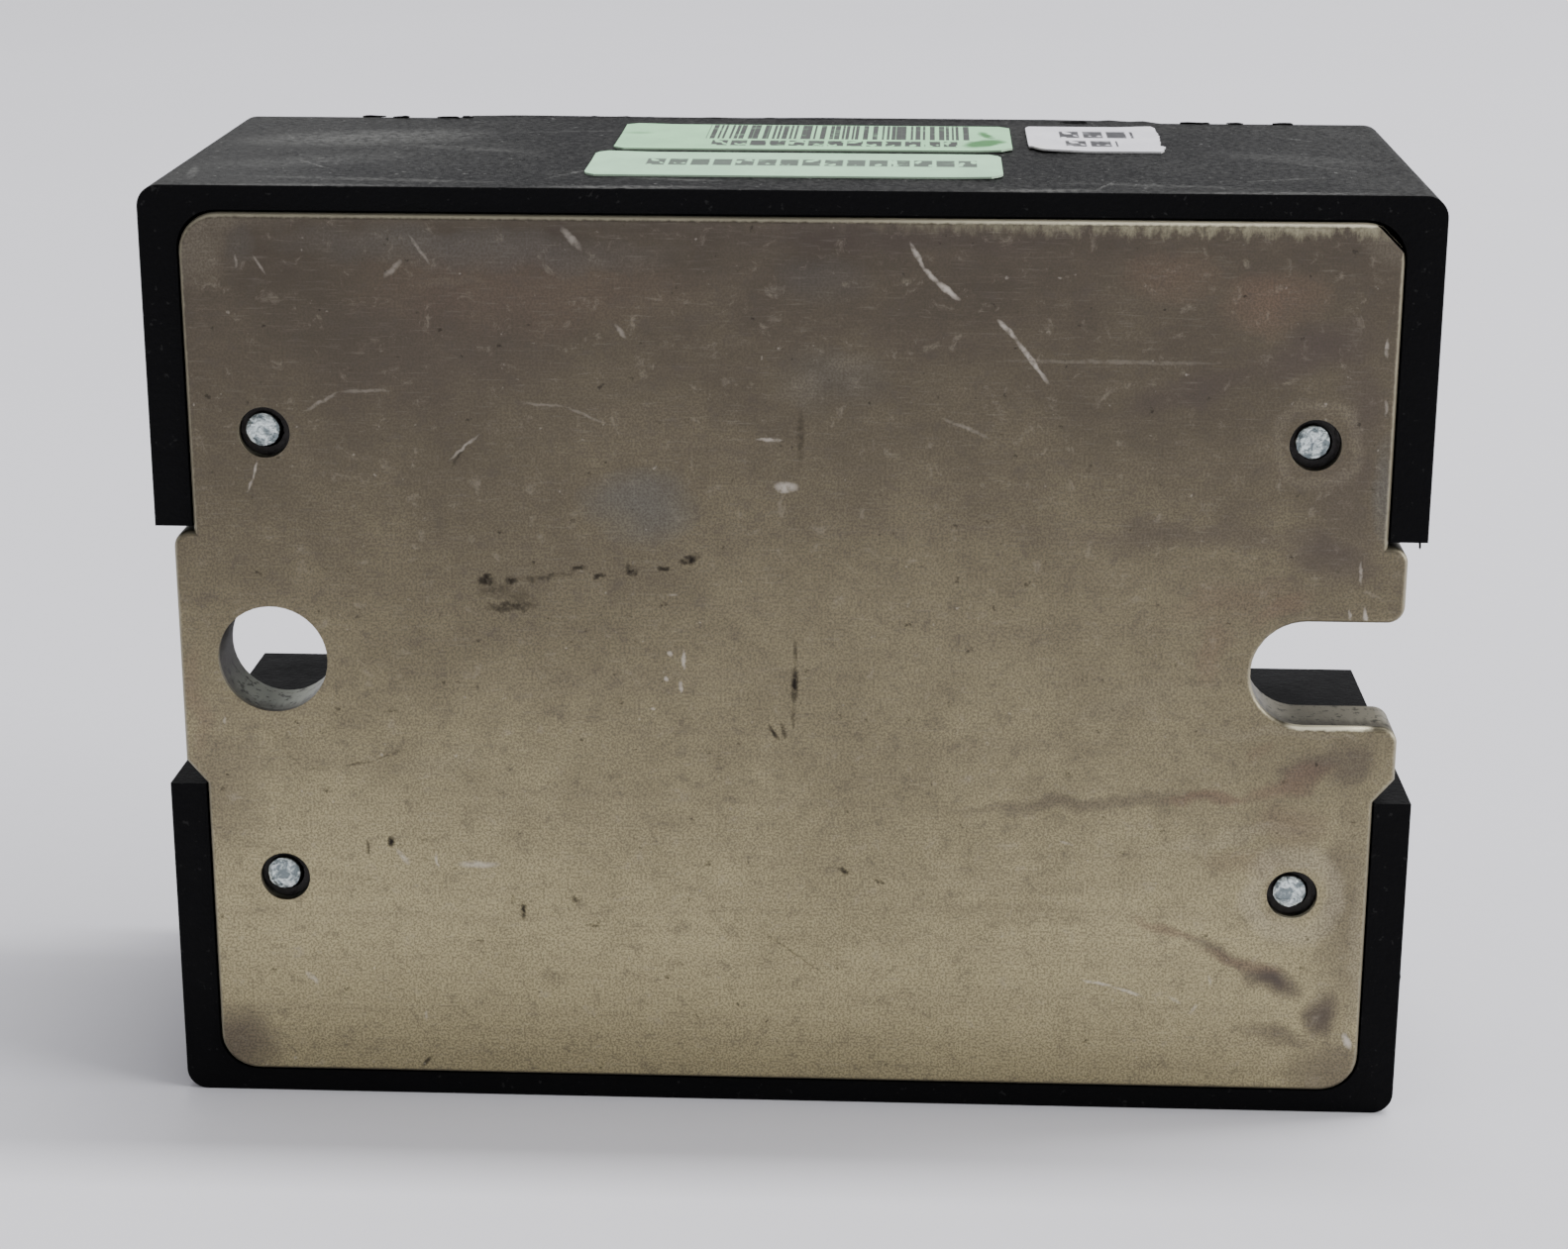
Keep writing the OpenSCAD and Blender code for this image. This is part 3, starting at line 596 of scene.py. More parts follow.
    # Where the edge faces up along the top and in the slot, it is worn bright with a painted highlight;
    # where it faces sideways it is paler, partly wear and partly painted highlight.
    lip_wear_and_highlight = times(tree, remap(tree, calc(tree, "MULTIPLY_ADD", fray, 0.7, up), 0.5, 0.95), wear_and_highlight_zone)
    sideways = calc(tree, "MULTIPLY_ADD", fray, 0.6, calc(tree, "ABSOLUTE", across))
    side = times(tree, remap(tree, sideways, 0.5, 1.0), 0.16)
    colour = mix(tree, times(tree, bleed, near_face, 0.7), colour, PALE_TOP_STREAKS)
    # Wear and painted highlight on the up-facing and sideways-facing edge.
    worn = times(tree, calc(tree, "MAXIMUM", lip_wear_and_highlight, side), near_face)
    colour = mix(tree, worn, colour, WORN_AND_HIGHLIT_LIP)

    # The walls of the holes: torn, lit from above and paler in the round hole than in the slot.
    sloped = remap(tree, calc(tree, "ABSOLUTE", out), 0.5, 0.2)
    wall = times(tree, sloped, calc(tree, "GREATER_THAN", y, 0.3 * MM))
    pale_wall = mix(tree, calc(tree, "LESS_THAN", x, 0.0), SLOT_WALL, HOLE_WALL)
    tear = remap(tree, calc(tree, "MULTIPLY_ADD", fray, 1.6 * MM, y), 1.3 * MM, 2.3 * MM, 0.35, 1.0)
    lit = times(tree, remap(tree, up, 0.2, 0.95), tear)
    wall_colour = mix(tree, lit, SHADED_WALL, pale_wall)
    burr = remap(tree, noise(tree, where, 2400.0, 3.0, 0.7), 0.54, 0.64)
    wall_colour = mix(tree, times(tree, burr, 0.75), wall_colour, BURR)
    tree.links.new(mix(tree, wall, colour, wall_colour), shader.inputs["Base Color"])

    shader.inputs["Metallic"].default_value = 0.92
    rough = calc(tree, "ADD", times(tree, cloud, 0.07), times(tree, grain, 0.16))
    rough = calc(tree, "SUBTRACT", calc(tree, "ADD", rough, 0.36), times(tree, bright, 0.1))
    rough = calc(tree, "ADD", rough, times(tree, dark, 0.2))
    tree.links.new(rough, shader.inputs["Roughness"])
    relief = calc(tree, "ADD", times(tree, grain, 0.6), times(tree, speckle, 0.4))
    bump(tree, shader, relief, 0.012 * MM)
    return material


# ---------------------------------------------------------------- the other finishes

# Scuffs on the upper long side of the case, in mm, as (x0, y0, x1, y1, half width, strength).
SCUFFS = [
    (-23.5, 8.2, -21.0, 5.0, 0.09, 0.7), (-26.0, 3.1, -12.0, 1.6, 0.5, 0.3),
    (-20.0, 13.0, -12.0, 10.5, 0.7, 0.22), (-11.2, 2.6, -8.9, 6.2, 0.16, 0.5),
    (-8.0, 3.4, -2.0, 2.6, 0.4, 0.35), (19.5, 3.4, 24.5, 5.2, 0.14, 0.45),
    (22.0, 10.5, 26.5, 6.0, 0.13, 0.4), (12.0, 3.0, 21.0, 1.9, 0.5, 0.28),
    (-25.5, 16.5, -24.2, 13.0, 0.1, 0.5), (-15.0, 17.0, -5.0, 18.6, 0.3, 0.2),
    (23.0, 18.0, 25.5, 15.5, 0.12, 0.4), (-27.5, 6.0, -27.0, 2.0, 0.3, 0.4),
    (-25.0, 14.0, -17.0, 16.0, 3.0, 0.42), (-26.0, 6.0, -19.0, 9.0, 2.0, 0.2),
    (-11.0, 0.6, -3.0, 0.9, 0.5, 0.55), (-26.5, 0.5, -16.0, 0.7, 0.35, 0.4),
    (9.0, 0.7, 14.0, 0.9, 0.6, 0.45), (17.0, 0.5, 27.0, 0.8, 0.4, 0.45),
    (13.6, 1.0, 14.6, 3.6, 0.12, 0.7), (15.6, 0.8, 16.1, 2.4, 0.12, 0.5),
    (20.0, 12.0, 27.0, 9.0, 1.6, 0.2),
]


CLEAN_BLACK = (0.0024, 0.0024, 0.0028)
DUSTY_BLACK = (0.043, 0.043, 0.042)
SCUFFED_BLACK = (0.22, 0.22, 0.21)


def black_plastic():
    """Matte moulded case: dusty and scuffed above, nearly clean elsewhere."""
    material, tree, shader, where = new_material("moulded_black")
    x, y, z = split(tree, where)
    top = ragged(tree, join(tree, x, y), 1900.0, 0.6, 5.0)
    skin = noise(tree, where, 3800.0, 4.0, 0.65)
    dust = use(tree, MOTTLE, Position=where, Broad=130.0, Fine=1500.0, Low=0.36, High=0.68)[0]
    specks = remap(tree, noise(tree, where, 2600.0, 2.0, 0.7), 0.66, 0.74)
    up = remap(tree, facing(tree)[2], 0.3, 0.95)
    on_top = times(tree, up, calc(tree, "GREATER_THAN", z, TOP_Z - 0.3 * MM))
    # Paler towards the ends of the top, the left end most.
    left_end = remap(tree, x, -10.0 * MM, -27.0 * MM, 0.0, 0.6)
    right_end = remap(tree, x, 12.0 * MM, 28.0 * MM, 0.0, 0.2)
    paler_ends = most(tree, [left_end, right_end])
    grit = remap(tree, noise(tree, where, 3600.0, 4.0, 0.75), 0.32, 0.68, -0.6, 0.6)
    powder = calc(tree, "ADD", calc(tree, "ADD", paler_ends, 0.12), grit)
    film = times(tree, on_top, calc(tree, "MULTIPLY_ADD", dust, 0.7, powder))
    film = calc(tree, "MAXIMUM", film, 0.0)
    colour = mix(tree, times(tree, film, 0.75), CLEAN_BLACK, DUSTY_BLACK)
    crumbled = remap(tree, noise(tree, where, 3300.0, 4.0, 0.7), 0.35, 0.62)
    scuff = times(tree, lines(tree, top, SCUFFS), on_top, crumbled, 0.85)
    specks = times(tree, specks, calc(tree, "MULTIPLY_ADD", on_top, 0.4, 0.06))
    colour = mix(tree, most(tree, [scuff, specks]), colour, SCUFFED_BLACK)
    tree.links.new(colour, shader.inputs["Base Color"])
    tree.links.new(calc(tree, "MULTIPLY_ADD", dust, 0.14, 0.5), shader.inputs["Roughness"])
    shader.inputs["Specular IOR Level"].default_value = 0.07
    bump(tree, shader, skin, 0.05 * MM)
    return material


def quiet_finish(name, colour, rough, metallic=0.0, spread=0.25, relief=0.01, fine=1800.0, alpha=None):
    """A finish with cloudy colour, uneven gloss and a fine skin."""
    material, tree, shader, where = new_material(name)
    cloud = use(tree, MOTTLE, Position=where, Broad=260.0, Fine=fine)[0]
    dark = tuple(part * (1 - spread) for part in colour)
    tree.links.new(mix(tree, cloud, dark, colour), shader.inputs["Base Color"])
    tree.links.new(calc(tree, "MULTIPLY_ADD", cloud, 0.12, rough), shader.inputs["Roughness"])
    shader.inputs["Metallic"].default_value = metallic
    bump(tree, shader, noise(tree, where, fine * 1.7, 3.0), relief * MM)
    if alpha is not None:
        shader.inputs["Alpha"].default_value = alpha
    return material


def pin_zinc():
    """Cropped zinc-plated pin ends: bluish, torn and pitted, dark down their sides."""
    material, tree, shader, where = new_material("cropped_zinc")
    torn = noise(tree, where, 2600.0, 3.0, 0.65, 0.6)
    fine = noise(tree, where, 7000.0, 2.0)
    colour = mix(tree, remap(tree, torn, 0.40, 0.62), (0.20, 0.24, 0.25), (0.80, 0.88, 0.87))
    colour = mix(tree, remap(tree, torn, 0.66, 0.72), colour, (1.0, 1.0, 1.0))
    side = remap(tree, calc(tree, "ABSOLUTE", facing(tree)[1]), 0.75, 0.35)
    colour = mix(tree, side, colour, (0.03, 0.028, 0.025))
    tree.links.new(colour, shader.inputs["Base Color"])
    shader.inputs["Metallic"].default_value = 0.75
    tree.links.new(calc(tree, "MULTIPLY_ADD", fine, 0.3, 0.2), shader.inputs["Roughness"])
    bump(tree, shader, calc(tree, "ADD", torn, times(tree, fine, 0.3)), 0.12 * MM)
    return material


def greeked_rows(tree, where, rows):
    """Masks of printed rows, each given in mm as (left, right, base, height, pitch, ink limit)."""
    return [use(tree, PRINT, Position=where, Left=left * MM, Right=right * MM, Base=base * MM,
                Height=tall * MM, Pitch=pitch * MM, Ink=limit)[0]
            for left, right, base, tall, pitch, limit in rows]


def bar_code(tree, x, y, area):
    """Mask of upright bars of random width inside an area given in mm as (left, right, low, high)."""
    left, right, low, high = area
    bars = add(tree, "ShaderNodeTexNoise", {"noise_dimensions": "1D"}, W=times(tree, x, 4300.0),
               Scale=1.0, Detail=0.0).outputs["Fac"]
    bars = remap(tree, bars, 0.46, 0.50)
    return times(tree, bars, inside(tree, x, left * MM, right * MM), inside(tree, y, low * MM, high * MM))


GREEN_INK = (0.045, 0.20, 0.05)
BARE_FIBRE = (0.74, 0.73, 0.71)
PAPER_EDGE = (0.5, 0.5, 0.46)


def paper(name, ground, ink, rows, bars=None, smudge=None, torn=None):
    """Printed paper, with a bar code, an ink smudge or a torn corner where it has one."""
    material, tree, shader, where = new_material(name)
    x, y, z = split(tree, where)
    top = join(tree, x, y)
    fibre = use(tree, MOTTLE, Position=where, Broad=420.0, Fine=3200.0)[0]
    wander = noise(tree, top, 900.0, 4.0, 0.6)
    colour = mix(tree, fibre, tuple(part * 0.9 for part in ground), ground)
    masks = greeked_rows(tree, top, rows)
    if bars:
        masks.append(bar_code(tree, x, y, bars))
    printed = times(tree, most(tree, masks), remap(tree, wander, 0.25, 0.45, 0.55, 1.0))
    colour = mix(tree, printed, colour, ink)
    for marks, stain in ((smudge, GREEN_INK), (torn, BARE_FIBRE)):
        if marks:
            colour = mix(tree, spots(tree, ragged(tree, top, 1500.0, 0.5), marks), colour, stain)
    edge = remap(tree, calc(tree, "ABSOLUTE", facing(tree)[2]), 0.6, 0.3)
    colour = mix(tree, times(tree, edge, 0.5), colour, PAPER_EDGE)
    tree.links.new(colour, shader.inputs["Base Color"])
    tree.links.new(calc(tree, "MULTIPLY_ADD", fibre, 0.15, 0.42), shader.inputs["Roughness"])
    bump(tree, shader, noise(tree, where, 4200.0, 3.0), 0.012 * MM)
    return material


# Greeked rows of the front label, in mm as (left, right, base, height, pitch, ink limit).
FRONT_ROWS = [
    (-12.0, -1.5, 12.6, 1.5, 1.15, 0.40), (-12.0, 4.0, 9.6, 1.0, 0.8, 0.42),
    (-12.0, 7.0, 7.6, 1.0, 0.8, 0.42), (-12.0, 2.0, 5.6, 1.0, 0.8, 0.42),
    (-12.0, 6.0, -4.6, 1.0, 0.8, 0.42), (-12.0, 8.5, -6.6, 1.0, 0.8, 0.42),
    (-12.0, 0.0, -8.6, 1.0, 0.8, 0.42), (-12.0, 5.0, -12.6, 1.5, 1.15, 0.40),
]
HEADER_ROW = [(-12.0, 9.0, -0.6, 2.2, 1.9, 0.40)]


def front_film():
    """Label on the terminal side: silver film with a dark frame, a header band and greeked rows."""
    material, tree, shader, where = new_material("printed_film")
    x, y, z = split(tree, where)
    spread = join(tree, times(tree, x, -1.0), z)
    low, high = (Vector(corner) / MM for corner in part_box("front_label"))
    fibre = use(tree, MOTTLE, Position=where, Broad=160.0, Fine=2600.0)[0]
    colour = mix(tree, fibre, (0.46, 0.46, 0.45), (0.54, 0.54, 0.53))
    from_middle_x = calc(tree, "ABSOLUTE", x)
    from_middle_z = calc(tree, "ABSOLUTE", z)

    def within(rim):
        wide = calc(tree, "LESS_THAN", from_middle_x, (high[0] - rim) * MM)
        tall = calc(tree, "LESS_THAN", from_middle_z, (high[2] - rim) * MM)
        return times(tree, wide, tall)

    frame_line = calc(tree, "SUBTRACT", within(1.0), within(1.5))
    ink = most(tree, greeked_rows(tree, spread, FRONT_ROWS) + [frame_line])
    colour = mix(tree, ink, colour, (0.03, 0.03, 0.034))
    band = times(tree, inside(tree, x, -14.0 * MM, 14.0 * MM), inside(tree, z, -1.9 * MM, 2.9 * MM))
    colour = mix(tree, band, colour, (0.05, 0.09, 0.17))
    header = greeked_rows(tree, spread, HEADER_ROW)[0]
    colour = mix(tree, header, colour, (0.62, 0.62, 0.60))
    tree.links.new(colour, shader.inputs["Base Color"])
    shader.inputs["Metallic"].default_value = 0.15
    tree.links.new(calc(tree, "MULTIPLY_ADD", fibre, 0.12, 0.3), shader.inputs["Roughness"])
    bump(tree, shader, noise(tree, where, 3000.0, 3.0), 0.008 * MM)
    return material


PLATE = worn_plate()
BLACK = black_plastic()
PIN_ENDS = pin_zinc()
ZINC = quiet_finish("bright_zinc", (0.58, 0.62, 0.64), 0.28, 1.0, 0.35, 0.02)
SEALANT = quiet_finish("dark_sealant", (0.014, 0.010, 0.008), 0.55, 0.0, 0.6, 0.1)
SOLDER = quiet_finish("dull_solder", (0.62, 0.63, 0.66), 0.4, 1.0)
ALUMINA = quiet_finish("white_alumina", (0.82, 0.80, 0.75), 0.6)
COPPER = quiet_finish("bare_copper", (0.72, 0.36, 0.22), 0.3, 1.0)
SILICON = quiet_finish("grey_silicon", (0.22, 0.23, 0.26), 0.15, 0.6)
BRASS = quiet_finish("tinned_brass", (0.62, 0.56, 0.40), 0.32, 1.0)
GEL = quiet_finish("clear_gel", (0.60, 0.64, 0.68), 0.1, 0.0, 0.05, 0.01, 1800.0, 0.35)
LAMINATE = quiet_finish("green_laminate", (0.03, 0.15, 0.07), 0.35, 0.0, 0.35)
WHITE_PLASTIC = quiet_finish("white_plastic", (0.72, 0.72, 0.68), 0.45, 0.0, 0.08)
YELLOW_PLASTIC = quiet_finish("yellow_box", (0.62, 0.43, 0.05), 0.35, 0.0, 0.15)
BLUE_LACQUER = quiet_finish("blue_lacquer", (0.10, 0.24, 0.38), 0.3, 0.0, 0.2)
TAN_LACQUER = quiet_finish("tan_lacquer", (0.52, 0.36, 0.18), 0.3, 0.0, 0.2)
BLACK_RESIN = quiet_finish("black_resin", (0.015, 0.015, 0.016), 0.4, 0.0, 0.3)
RED_RESIN = quiet_finish("red_resin", (0.45, 0.015, 0.012), 0.12, 0.0, 0.1)
CLAMP_STEEL = quiet_finish("clamp_steel", (0.60, 0.58, 0.50), 0.3, 1.0, 0.3, 0.03)
SCREW_STEEL = quiet_finish("screw_steel", (0.60, 0.61, 0.62), 0.24, 1.0, 0.3, 0.02)
FILM = front_film()
GREEN = (0.44, 0.76, 0.49)
CAPITALS_PAPER = paper("capitals_paper", GREEN, (0.085, 0.115, 0.09), [(-6.9, 8.6, 6.4, 2.1, 1.03, 0.36)])
CODE_PAPER = paper(
    "code_paper", (0.38, 0.74, 0.42), (0.035, 0.04, 0.035), [(-4.3, 7.6, 12.6, 1.9, 0.93, 0.40)],
    bars=(-4.6, 8.3, 14.9, 19.5), smudge=[(8.9, 13.9, 1.7, 0.9, 60, 1.6), (9.0, 16.6, 1.5, 0.35, 100, 1.2),
                                         (-8.0, 16.6, 0.9, 0.5, 0, 0.5)])
TEST_PAPER = paper(
    "test_paper", (0.80, 0.79, 0.84), (0.035, 0.035, 0.04),
    [(12.5, 16.2, 15.9, 2.4, 1.15, 0.36), (12.7, 15.3, 13.1, 2.1, 1.2, 0.36)],
    torn=[(11.3, 12.4, 0.8, 1.0, 0, 0.8)])


# ---------------------------------------------------------------- pieces

# The dinged corner of the plate: a point of its flat in mm, and the way that it faces.
DING = (26.55, 0, 20.15)
DING_WAY = (0.72, 0, 0.69)


def base_plate():
    """The plate: dinged at one corner, its outline worn round and its holes nearly sharp."""
    piece = cad_copy("base_plate", "worn_base_plate")
    edit_all(piece)
    bpy.ops.mesh.bisect(plane_co=Vector(DING) * MM, plane_no=DING_WAY, use_fill=True, clear_outer=True)
    object_mode()

    def on_outline(x, y, z):
        clear_of_holes = all(math.dist((x, z), centre) > 3.0 for centre in PINS + [HOLE])
        return y < 0.01 and (clear_of_holes or abs(x) > 27.0)

    edit_where(piece, on_outline, "EDGE")
    bpy.ops.mesh.bevel(offset=0.26 * MM, segments=4, affect="EDGES")
    object_mode()
    round_edges(piece, 0.06, 2, 50)
    shade(piece)
    place(piece, "root", PLATE, ["base_plate"])


def case():
    """The moulded case, its long outer edges made uneven and all its sharp edges eased."""
    piece = cad_copy("case", "moulded_case")

    wide, deep, tall = (size / MM for size in CASE_HIGH)

    def on_rim(x, y, z):
        return (y < 0.01 or y > deep - 0.01) and (abs(x) > wide - 0.1 or abs(z) > tall - 0.1)

    edit_where(piece, on_rim, "EDGE")
    object_mode()
    for edge in piece.data.edges:
        first, second = (piece.data.vertices[index].co for index in edge.vertices)
        edge.select = edge.select and (first - second).length > 4 * MM
    edit_mode()
    bpy.ops.mesh.subdivide(number_cuts=60)
    bpy.ops.transform.vertex_random(offset=0.085 * MM, seed=21)
    object_mode()
    round_edges(piece, 0.22, 3)
    shade(piece)
    place(piece, "root", BLACK, ["case"])


def pins():
    """Four cropped pin ends, each a little off its hole's centre and torn across its end."""
    made = []
    for number, (x, z) in enumerate(PINS):
        bpy.ops.object.select_all(action="DESELECT")
        bpy.ops.mesh.primitive_cylinder_add(
            vertices=28, radius=0.79 * MM, depth=7.2 * MM, end_fill_type="NGON",
            location=((x - 0.1) * MM, 3.86 * MM, (z + 0.08) * MM), rotation=(math.radians(90), 0, 0))
        pin = bpy.context.object
        settle(pin)
        edit_where(pin, lambda x, y, z: y < 1.0, "EDGE")
        bpy.ops.mesh.bevel(offset=0.12 * MM, segments=2, affect="EDGES")
        object_mode()
        edit_where(pin, lambda x, y, z: y < 0.3, "FACE")
        for lift in (0.03, 0.02, 0.0):
            bpy.ops.mesh.inset(thickness=0.17 * MM)
            bpy.ops.transform.translate(value=(0, -lift * MM, 0))
        bpy.ops.mesh.poke()
        object_mode()
        edit_where(pin, lambda x, y, z: y < 0.33)
        bpy.ops.transform.vertex_random(offset=0.035 * MM, seed=number + 3)
        object_mode()
        made.append(pin)
    select_only(*made)
    bpy.ops.object.join()
    piece = bpy.context.object
    piece.name = "cropped_pins"
    shade(piece, 50)
    place(piece, "root", PIN_ENDS, ["locating_pins"])


def pin_seals():
    """Rough rings of sealant round the pins."""
    piece = cad_copy("pin_seals", "sealant_rings")
    edit_where(piece, lambda x, y, z: y < 0.6, "FACE")
    bpy.ops.mesh.subdivide(number_cuts=2)
    bpy.ops.transform.vertex_random(offset=0.03 * MM, seed=5)
    object_mode()
    shade(piece, 60)
    place(piece, "root", SEALANT, ["pin_seals"])


def sheet_of_paper(name, node, material, cuts, lifts, tears=()):
    """A thin label with cut, lifted and torn places.

    Cuts are (x, y, angle of the normal), lifts are (x, y, reach, height), both in mm, and tears are
    (test of a place, seed)."""
    low, high = (Vector(corner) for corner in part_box(node))
    middle = (low + high) / 2
    bpy.ops.object.select_all(action="DESELECT")
    underside = low[2] + 0.02 * MM
    bpy.ops.mesh.primitive_grid_add(x_subdivisions=36, y_subdivisions=16, size=1.0,
                                    location=(middle[0], middle[1], underside))
    piece = bpy.context.object
    piece.name = name
    piece.scale = (high[0] - low[0], high[1] - low[1], 1)
    settle(piece)
    for x, y, angle in cuts:
        edit_all(piece)
        normal = (math.cos(math.radians(angle)), math.sin(math.radians(angle)), 0)
        bpy.ops.mesh.bisect(plane_co=Vector((x, y, 0)) * MM, clear_outer=True, plane_no=normal)
        object_mode()
    for test, seed in tears:
        edit_where(piece, test)
        bpy.ops.transform.vertex_random(offset=0.22 * MM, seed=seed, normal=0)
        object_mode()
    edit_all(piece)
    bpy.ops.transform.resize(value=(1, 1, 0), center_override=(0, 0, underside))
    object_mode()
    for x, y, reach, lift in lifts:
        nearest = min(math.dist((x, y), vertex.co.xy / MM) for vertex in piece.data.vertices)
        edit_where(piece, lambda px, py, pz: math.dist((x, y), (px, py)) < nearest + 0.01)
        bpy.ops.transform.translate(
            value=(0, 0, lift * MM), use_proportional_edit=True, proportional_edit_falloff="SMOOTH",
            proportional_size=reach * MM)
        object_mode()
    apply_modifier(piece, "SOLIDIFY", thickness=0.09 * MM, offset=1.0)
    shade(piece, 40)
    place(piece, "root", material, [node])


def corner_cuts(node, radius=0.9):
    """Three cuts for each corner of a label, which leave it rounded."""
    low, high = (Vector(corner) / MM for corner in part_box(node))
    cuts = []
    for side_x, edge_x in ((-1, low[0]), (1, high[0])):
        for side_y, edge_y in ((-1, low[1]), (1, high[1])):
            for turn in (22.5, 45, 67.5):
                across = side_x * math.cos(math.radians(turn))
                up = side_y * math.sin(math.radians(turn))
                x = edge_x + (across - side_x) * radius
                y = edge_y + (up - side_y) * radius
                cuts.append((x, y, math.degrees(math.atan2(up, across))))
    return cuts


def labels():
    sheet_of_paper("capitals_label", "green_label_rear", CAPITALS_PAPER,
                   corner_cuts("green_label_rear"), [(-9.4, 10.4, 3.0, 0.05), (9.6, 3.6, 2.5, 0.04)])
    sheet_of_paper("code_label", "green_label_front", CODE_PAPER,
                   corner_cuts("green_label_front"), [(-8.8, 19.6, 3.0, 0.05), (10.2, 11.6, 2.0, 0.06)])
    low, high = (Vector(corner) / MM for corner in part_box("white_label"))
    sheet_of_paper(
        "test_label", "white_label", TEST_PAPER,
        corner_cuts("white_label", 0.5) + [(low[0] + 0.9, low[1], 250), (low[0], low[1] + 1.2, 205)],
        [(low[0], low[1], 2.5, 0.08), (high[0], high[1], 2.0, 0.05)],
        [(lambda x, y, z: x > high[0] - 0.1 and low[1] + 1 < y < high[1] - 1, 4),
         (lambda x, y, z: x < low[0] + 1.2 and y < low[1] + 1.2, 7)])


# Places in mm where a sliver of moulding flash stands proud: x, y, z, length, direction of its length.
FLASH = [
    (-22.0, 22.04, 22.04, 1.3, "X"), (-20.6, 21.8, 22.04, 0.9, "X"), (-18.2, 21.9, 22.04, 1.2, "X"),
    (-17.2, 22.0, 22.04, 0.6, "X"), (19.6, 21.9, 22.04, 1.6, "X"), (21.6, 21.9, 22.04, 0.9, "X"),
    (24.0, 21.9, 22.04, 1.1, "X"), (13.5, 21.9, 22.04, 1.4, "X"), (-28.8, 20.5, 21.6, 0.9, "Y"),
    (-28.9, 18.6, 21.5, 1.2, "Y"), (-28.95, 17.2, 21.4, 0.7, "Y"), (-28.9, 0.4, 12.0, 0.8, "Z"),
    (-28.95, 0.35, 10.6, 0.7, "Z"), (-28.9, 0.4, 8.2, 0.6, "Z"), (-28.95, 0.4, 15.8, 0.9, "Z"),
    (-28.3, 0.5, 6.3, 0.5, "X"), (-27.4, 0.5, 6.3, 0.4, "X"), (28.7, 0.6, 6.1, 0.5, "Z"),
    (28.2, 0.5, 6.35, 0.5, "X"), (-20.0, 0.3, 21.95, 1.0, "X"), (-12.6, 0.3, 21.95, 0.8, "X"),
    (-7.5, 0.3, 21.95, 1.0, "X"), (16.0, 0.3, 21.95, 0.9, "X"), (28.9, 0.4, 19.2, 0.8, "Z"),
    (28.95, 0.4, -15.0, 0.8, "Z"), (-28.95, 0.4, -9.0, 0.8, "Z"), (0.4, 0.4, -21.95, 0.9, "X"),
    (-19.5, 0.4, -21.95, 0.9, "X"), (12.0, 0.4, -21.95, 1.2, "X"), (-27.2, 0.4, -6.35, 0.5, "X"),
    (27.3, 0.4, -6.35, 0.4, "X"),
]


def mould_flash():
    """Slivers of flash and scuffed burrs along the edges of the case."""
    chance = random.Random(11)
    made = []
    for x, y, z, length, way in FLASH:
        bpy.ops.object.select_all(action="DESELECT")
        bpy.ops.mesh.primitive_ico_sphere_add(
            subdivisions=2, radius=0.5 * MM, location=Vector((x, y, z)) * MM)
        sliver = bpy.context.object
        thick = chance.uniform(0.08, 0.15)
        sizes = {axis: thick for axis in "XYZ"}
        sizes[way] = length
        sliver.scale = (sizes["X"], sizes["Y"], sizes["Z"])
        settle(sliver)
        edit_all(sliver)
        bpy.ops.transform.vertex_random(offset=0.05 * MM, seed=chance.randrange(1000))
        object_mode()
        made.append(sliver)
    select_only(*made)
    bpy.ops.object.join()
    piece = bpy.context.object
    piece.name = "moulding_flash"
    shade(piece, 30)
    place(piece, "root", BLACK)


def terminals():
    """Clamps, screws and strips with their pressed and turned edges eased."""
    for terminal in ("line", "load", "control_plus", "control_minus"):
        for part, material, slot in (("clamp", CLAMP_STEEL, "clamp_steel"),
                                     ("screw", SCREW_STEEL, "screw_steel")):
            node = f"{terminal}_{part}"
            piece = cad_copy(node, f"{terminal}_{part}_finished")
            round_edges(piece, 0.1, 2, 35)
            shade(piece)
            place(piece, node, material, [node])
    for node in ("line_strip", "load_strip", "control_plus_strip", "control_minus_strip"):
        piece = cad_copy(node, f"{node}_finished")
        round_edges(piece, 0.08, 2, 35)
        shade(piece)
        place(piece, "root", BRASS, [node])


CARRIED = {
    "solder_layer": SOLDER, "ceramic_substrate": ALUMINA, "copper_pads": COPPER,
    "thyristor_chips": SILICON, "cathode_jumpers": COPPER, "gate_wires": SOLDER,
    "gate_pins": BRASS, "silicone_gel": GEL, "terminal_nuts": ZINC,
    "control_board": LAMINATE, "optocoupler": WHITE_PLASTIC, "snubber_capacitor": YELLOW_PLASTIC,
    "snubber_resistor": BLUE_LACQUER, "gate_resistors": TAN_LACQUER, "input_resistor": TAN_LACQUER,
    "input_diode": BLACK_RESIN, "input_transistor": BLACK_RESIN, "status_led": RED_RESIN,
    "front_label": FILM,
}


def carried_nodes():
    """Materials of the CAD nodes whose own shape is shown."""
    for name, material in CARRIED.items():
        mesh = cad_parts[name].data
        mesh.materials.clear()
        mesh.materials.append(material)


base_plate()
case()
pins()
pin_seals()
labels()
mould_flash()
terminals()
carried_nodes()


# ---------------------------------------------------------------- stage, light and camera

def floor():
    bpy.ops.object.select_all(action="DESELECT")
    bpy.ops.mesh.primitive_plane_add(size=6.0, location=(0, 0, FLOOR_Z))
    piece = bpy.context.object
    piece.name = "pale_floor"
    settle(piece)
    material, tree, shader, where = new_material("pale_paper")
    cloud = use(tree, MOTTLE, Position=where, Broad=9.0, Fine=900.0)[0]
    tree.links.new(mix(tree, cloud, (0.685, 0.68, 0.72), (0.70, 0.695, 0.735)), shader.inputs["Base Color"])
    shader.inputs["Roughness"].default_value = 0.8
    shader.inputs["Specular IOR Level"].default_value = 0.1
    piece.data.materials.append(material)


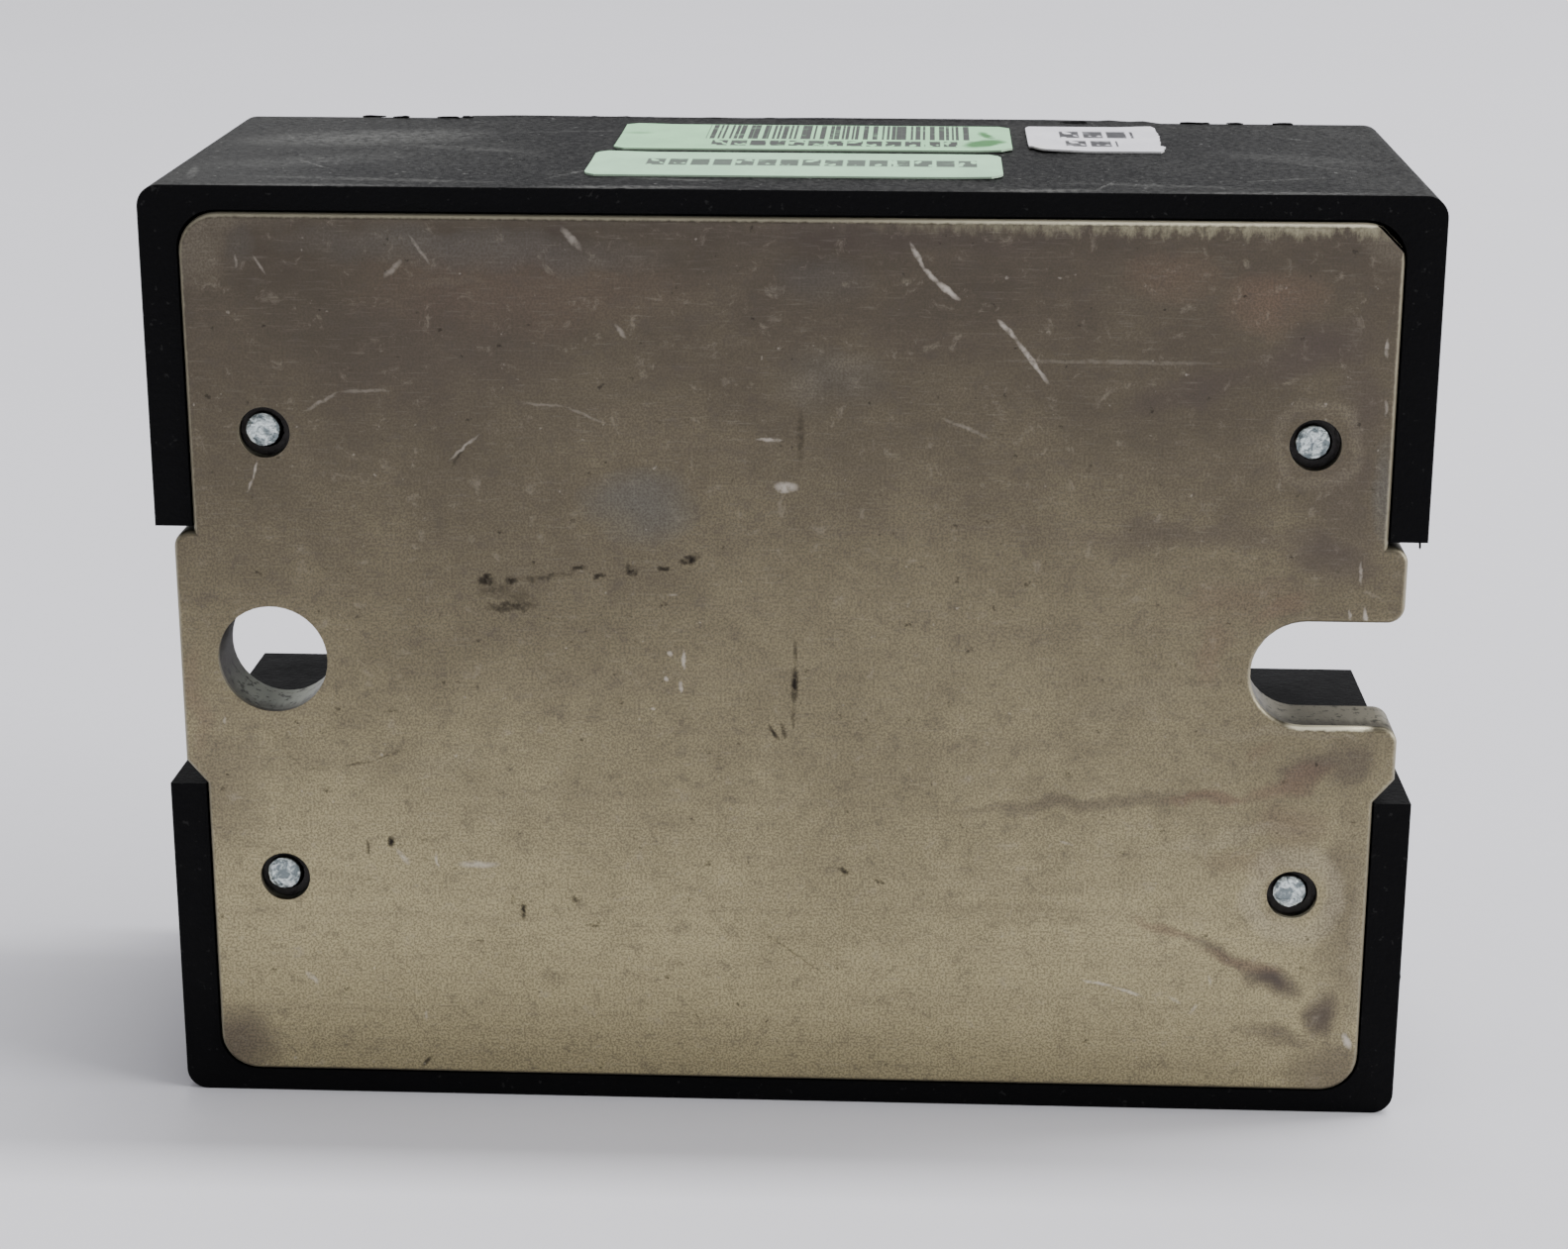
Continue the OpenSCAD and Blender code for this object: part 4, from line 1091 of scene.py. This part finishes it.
def area_light(name, place_at, aim, long, wide, power):
    light = bpy.data.lights.new(name, "AREA")
    light.shape = "RECTANGLE"
    light.size = long
    light.size_y = wide
    light.energy = power
    item = bpy.data.objects.new(name, light)
    item.location = place_at
    item.rotation_euler = (Vector(aim) - Vector(place_at)).to_track_quat("-Z", "Y").to_euler()
    bpy.context.scene.collection.objects.link(item)


def lights():
    """Even surroundings, a little darker in front, a long lamp overhead and a soft one from the right."""
    world = bpy.data.worlds.new("studio")
    world.use_nodes = True
    tree = world.node_tree
    way = tree.nodes.new("ShaderNodeTexCoord").outputs["Generated"]
    front = remap(tree, split(tree, way)[1], -0.2, -0.9, 1.0, 0.55)
    seen = tree.nodes.new("ShaderNodeLightPath").outputs["Is Camera Ray"]
    power = times(tree, front, 0.66)
    unseen = calc(tree, "SUBTRACT", 1.0, seen)
    strength = calc(tree, "ADD", times(tree, power, unseen), times(tree, seen, 1.15))
    tree.nodes["Background"].inputs[0].default_value = (0.97, 0.97, 1.0, 1)
    tree.links.new(strength, tree.nodes["Background"].inputs[1])
    bpy.context.scene.world = world
    area_light("tube_overhead", (0.72, 0.27, 1.5), (0.72, 0, 0), 1.7, 0.16, 34.0)
    area_light("window_right", (1.3, -0.25, 0.62), (0, 0, 0), 0.8, 0.8, 20.0)


def camera():
    """Stands in front of the base plate, a little above it, looking slightly down and to the left."""
    lens = bpy.data.cameras.new("camera")
    lens.sensor_width = 36
    lens.lens = 72.09
    lens.clip_start = 0.01
    item = bpy.data.objects.new("camera", lens)
    tilt, yaw, roll = 0.299, 0.043, 0.015
    turn = (Matrix.Rotation(roll, 3, "Z") @ Matrix.Rotation(yaw, 3, "Y") @ Matrix.Rotation(tilt, 3, "X")
            @ Matrix(((1, 0, 0), (0, 0, -1), (0, 1, 0))))
    shift = Vector((0.076, 1.969, 144.55)) * MM
    item.matrix_world = (Matrix.Translation(-(turn.transposed() @ shift))
                         @ (turn.transposed() @ Matrix.Diagonal((1, -1, -1))).to_4x4())
    bpy.context.scene.collection.objects.link(item)
    bpy.context.scene.camera = item


floor()
lights()
camera()
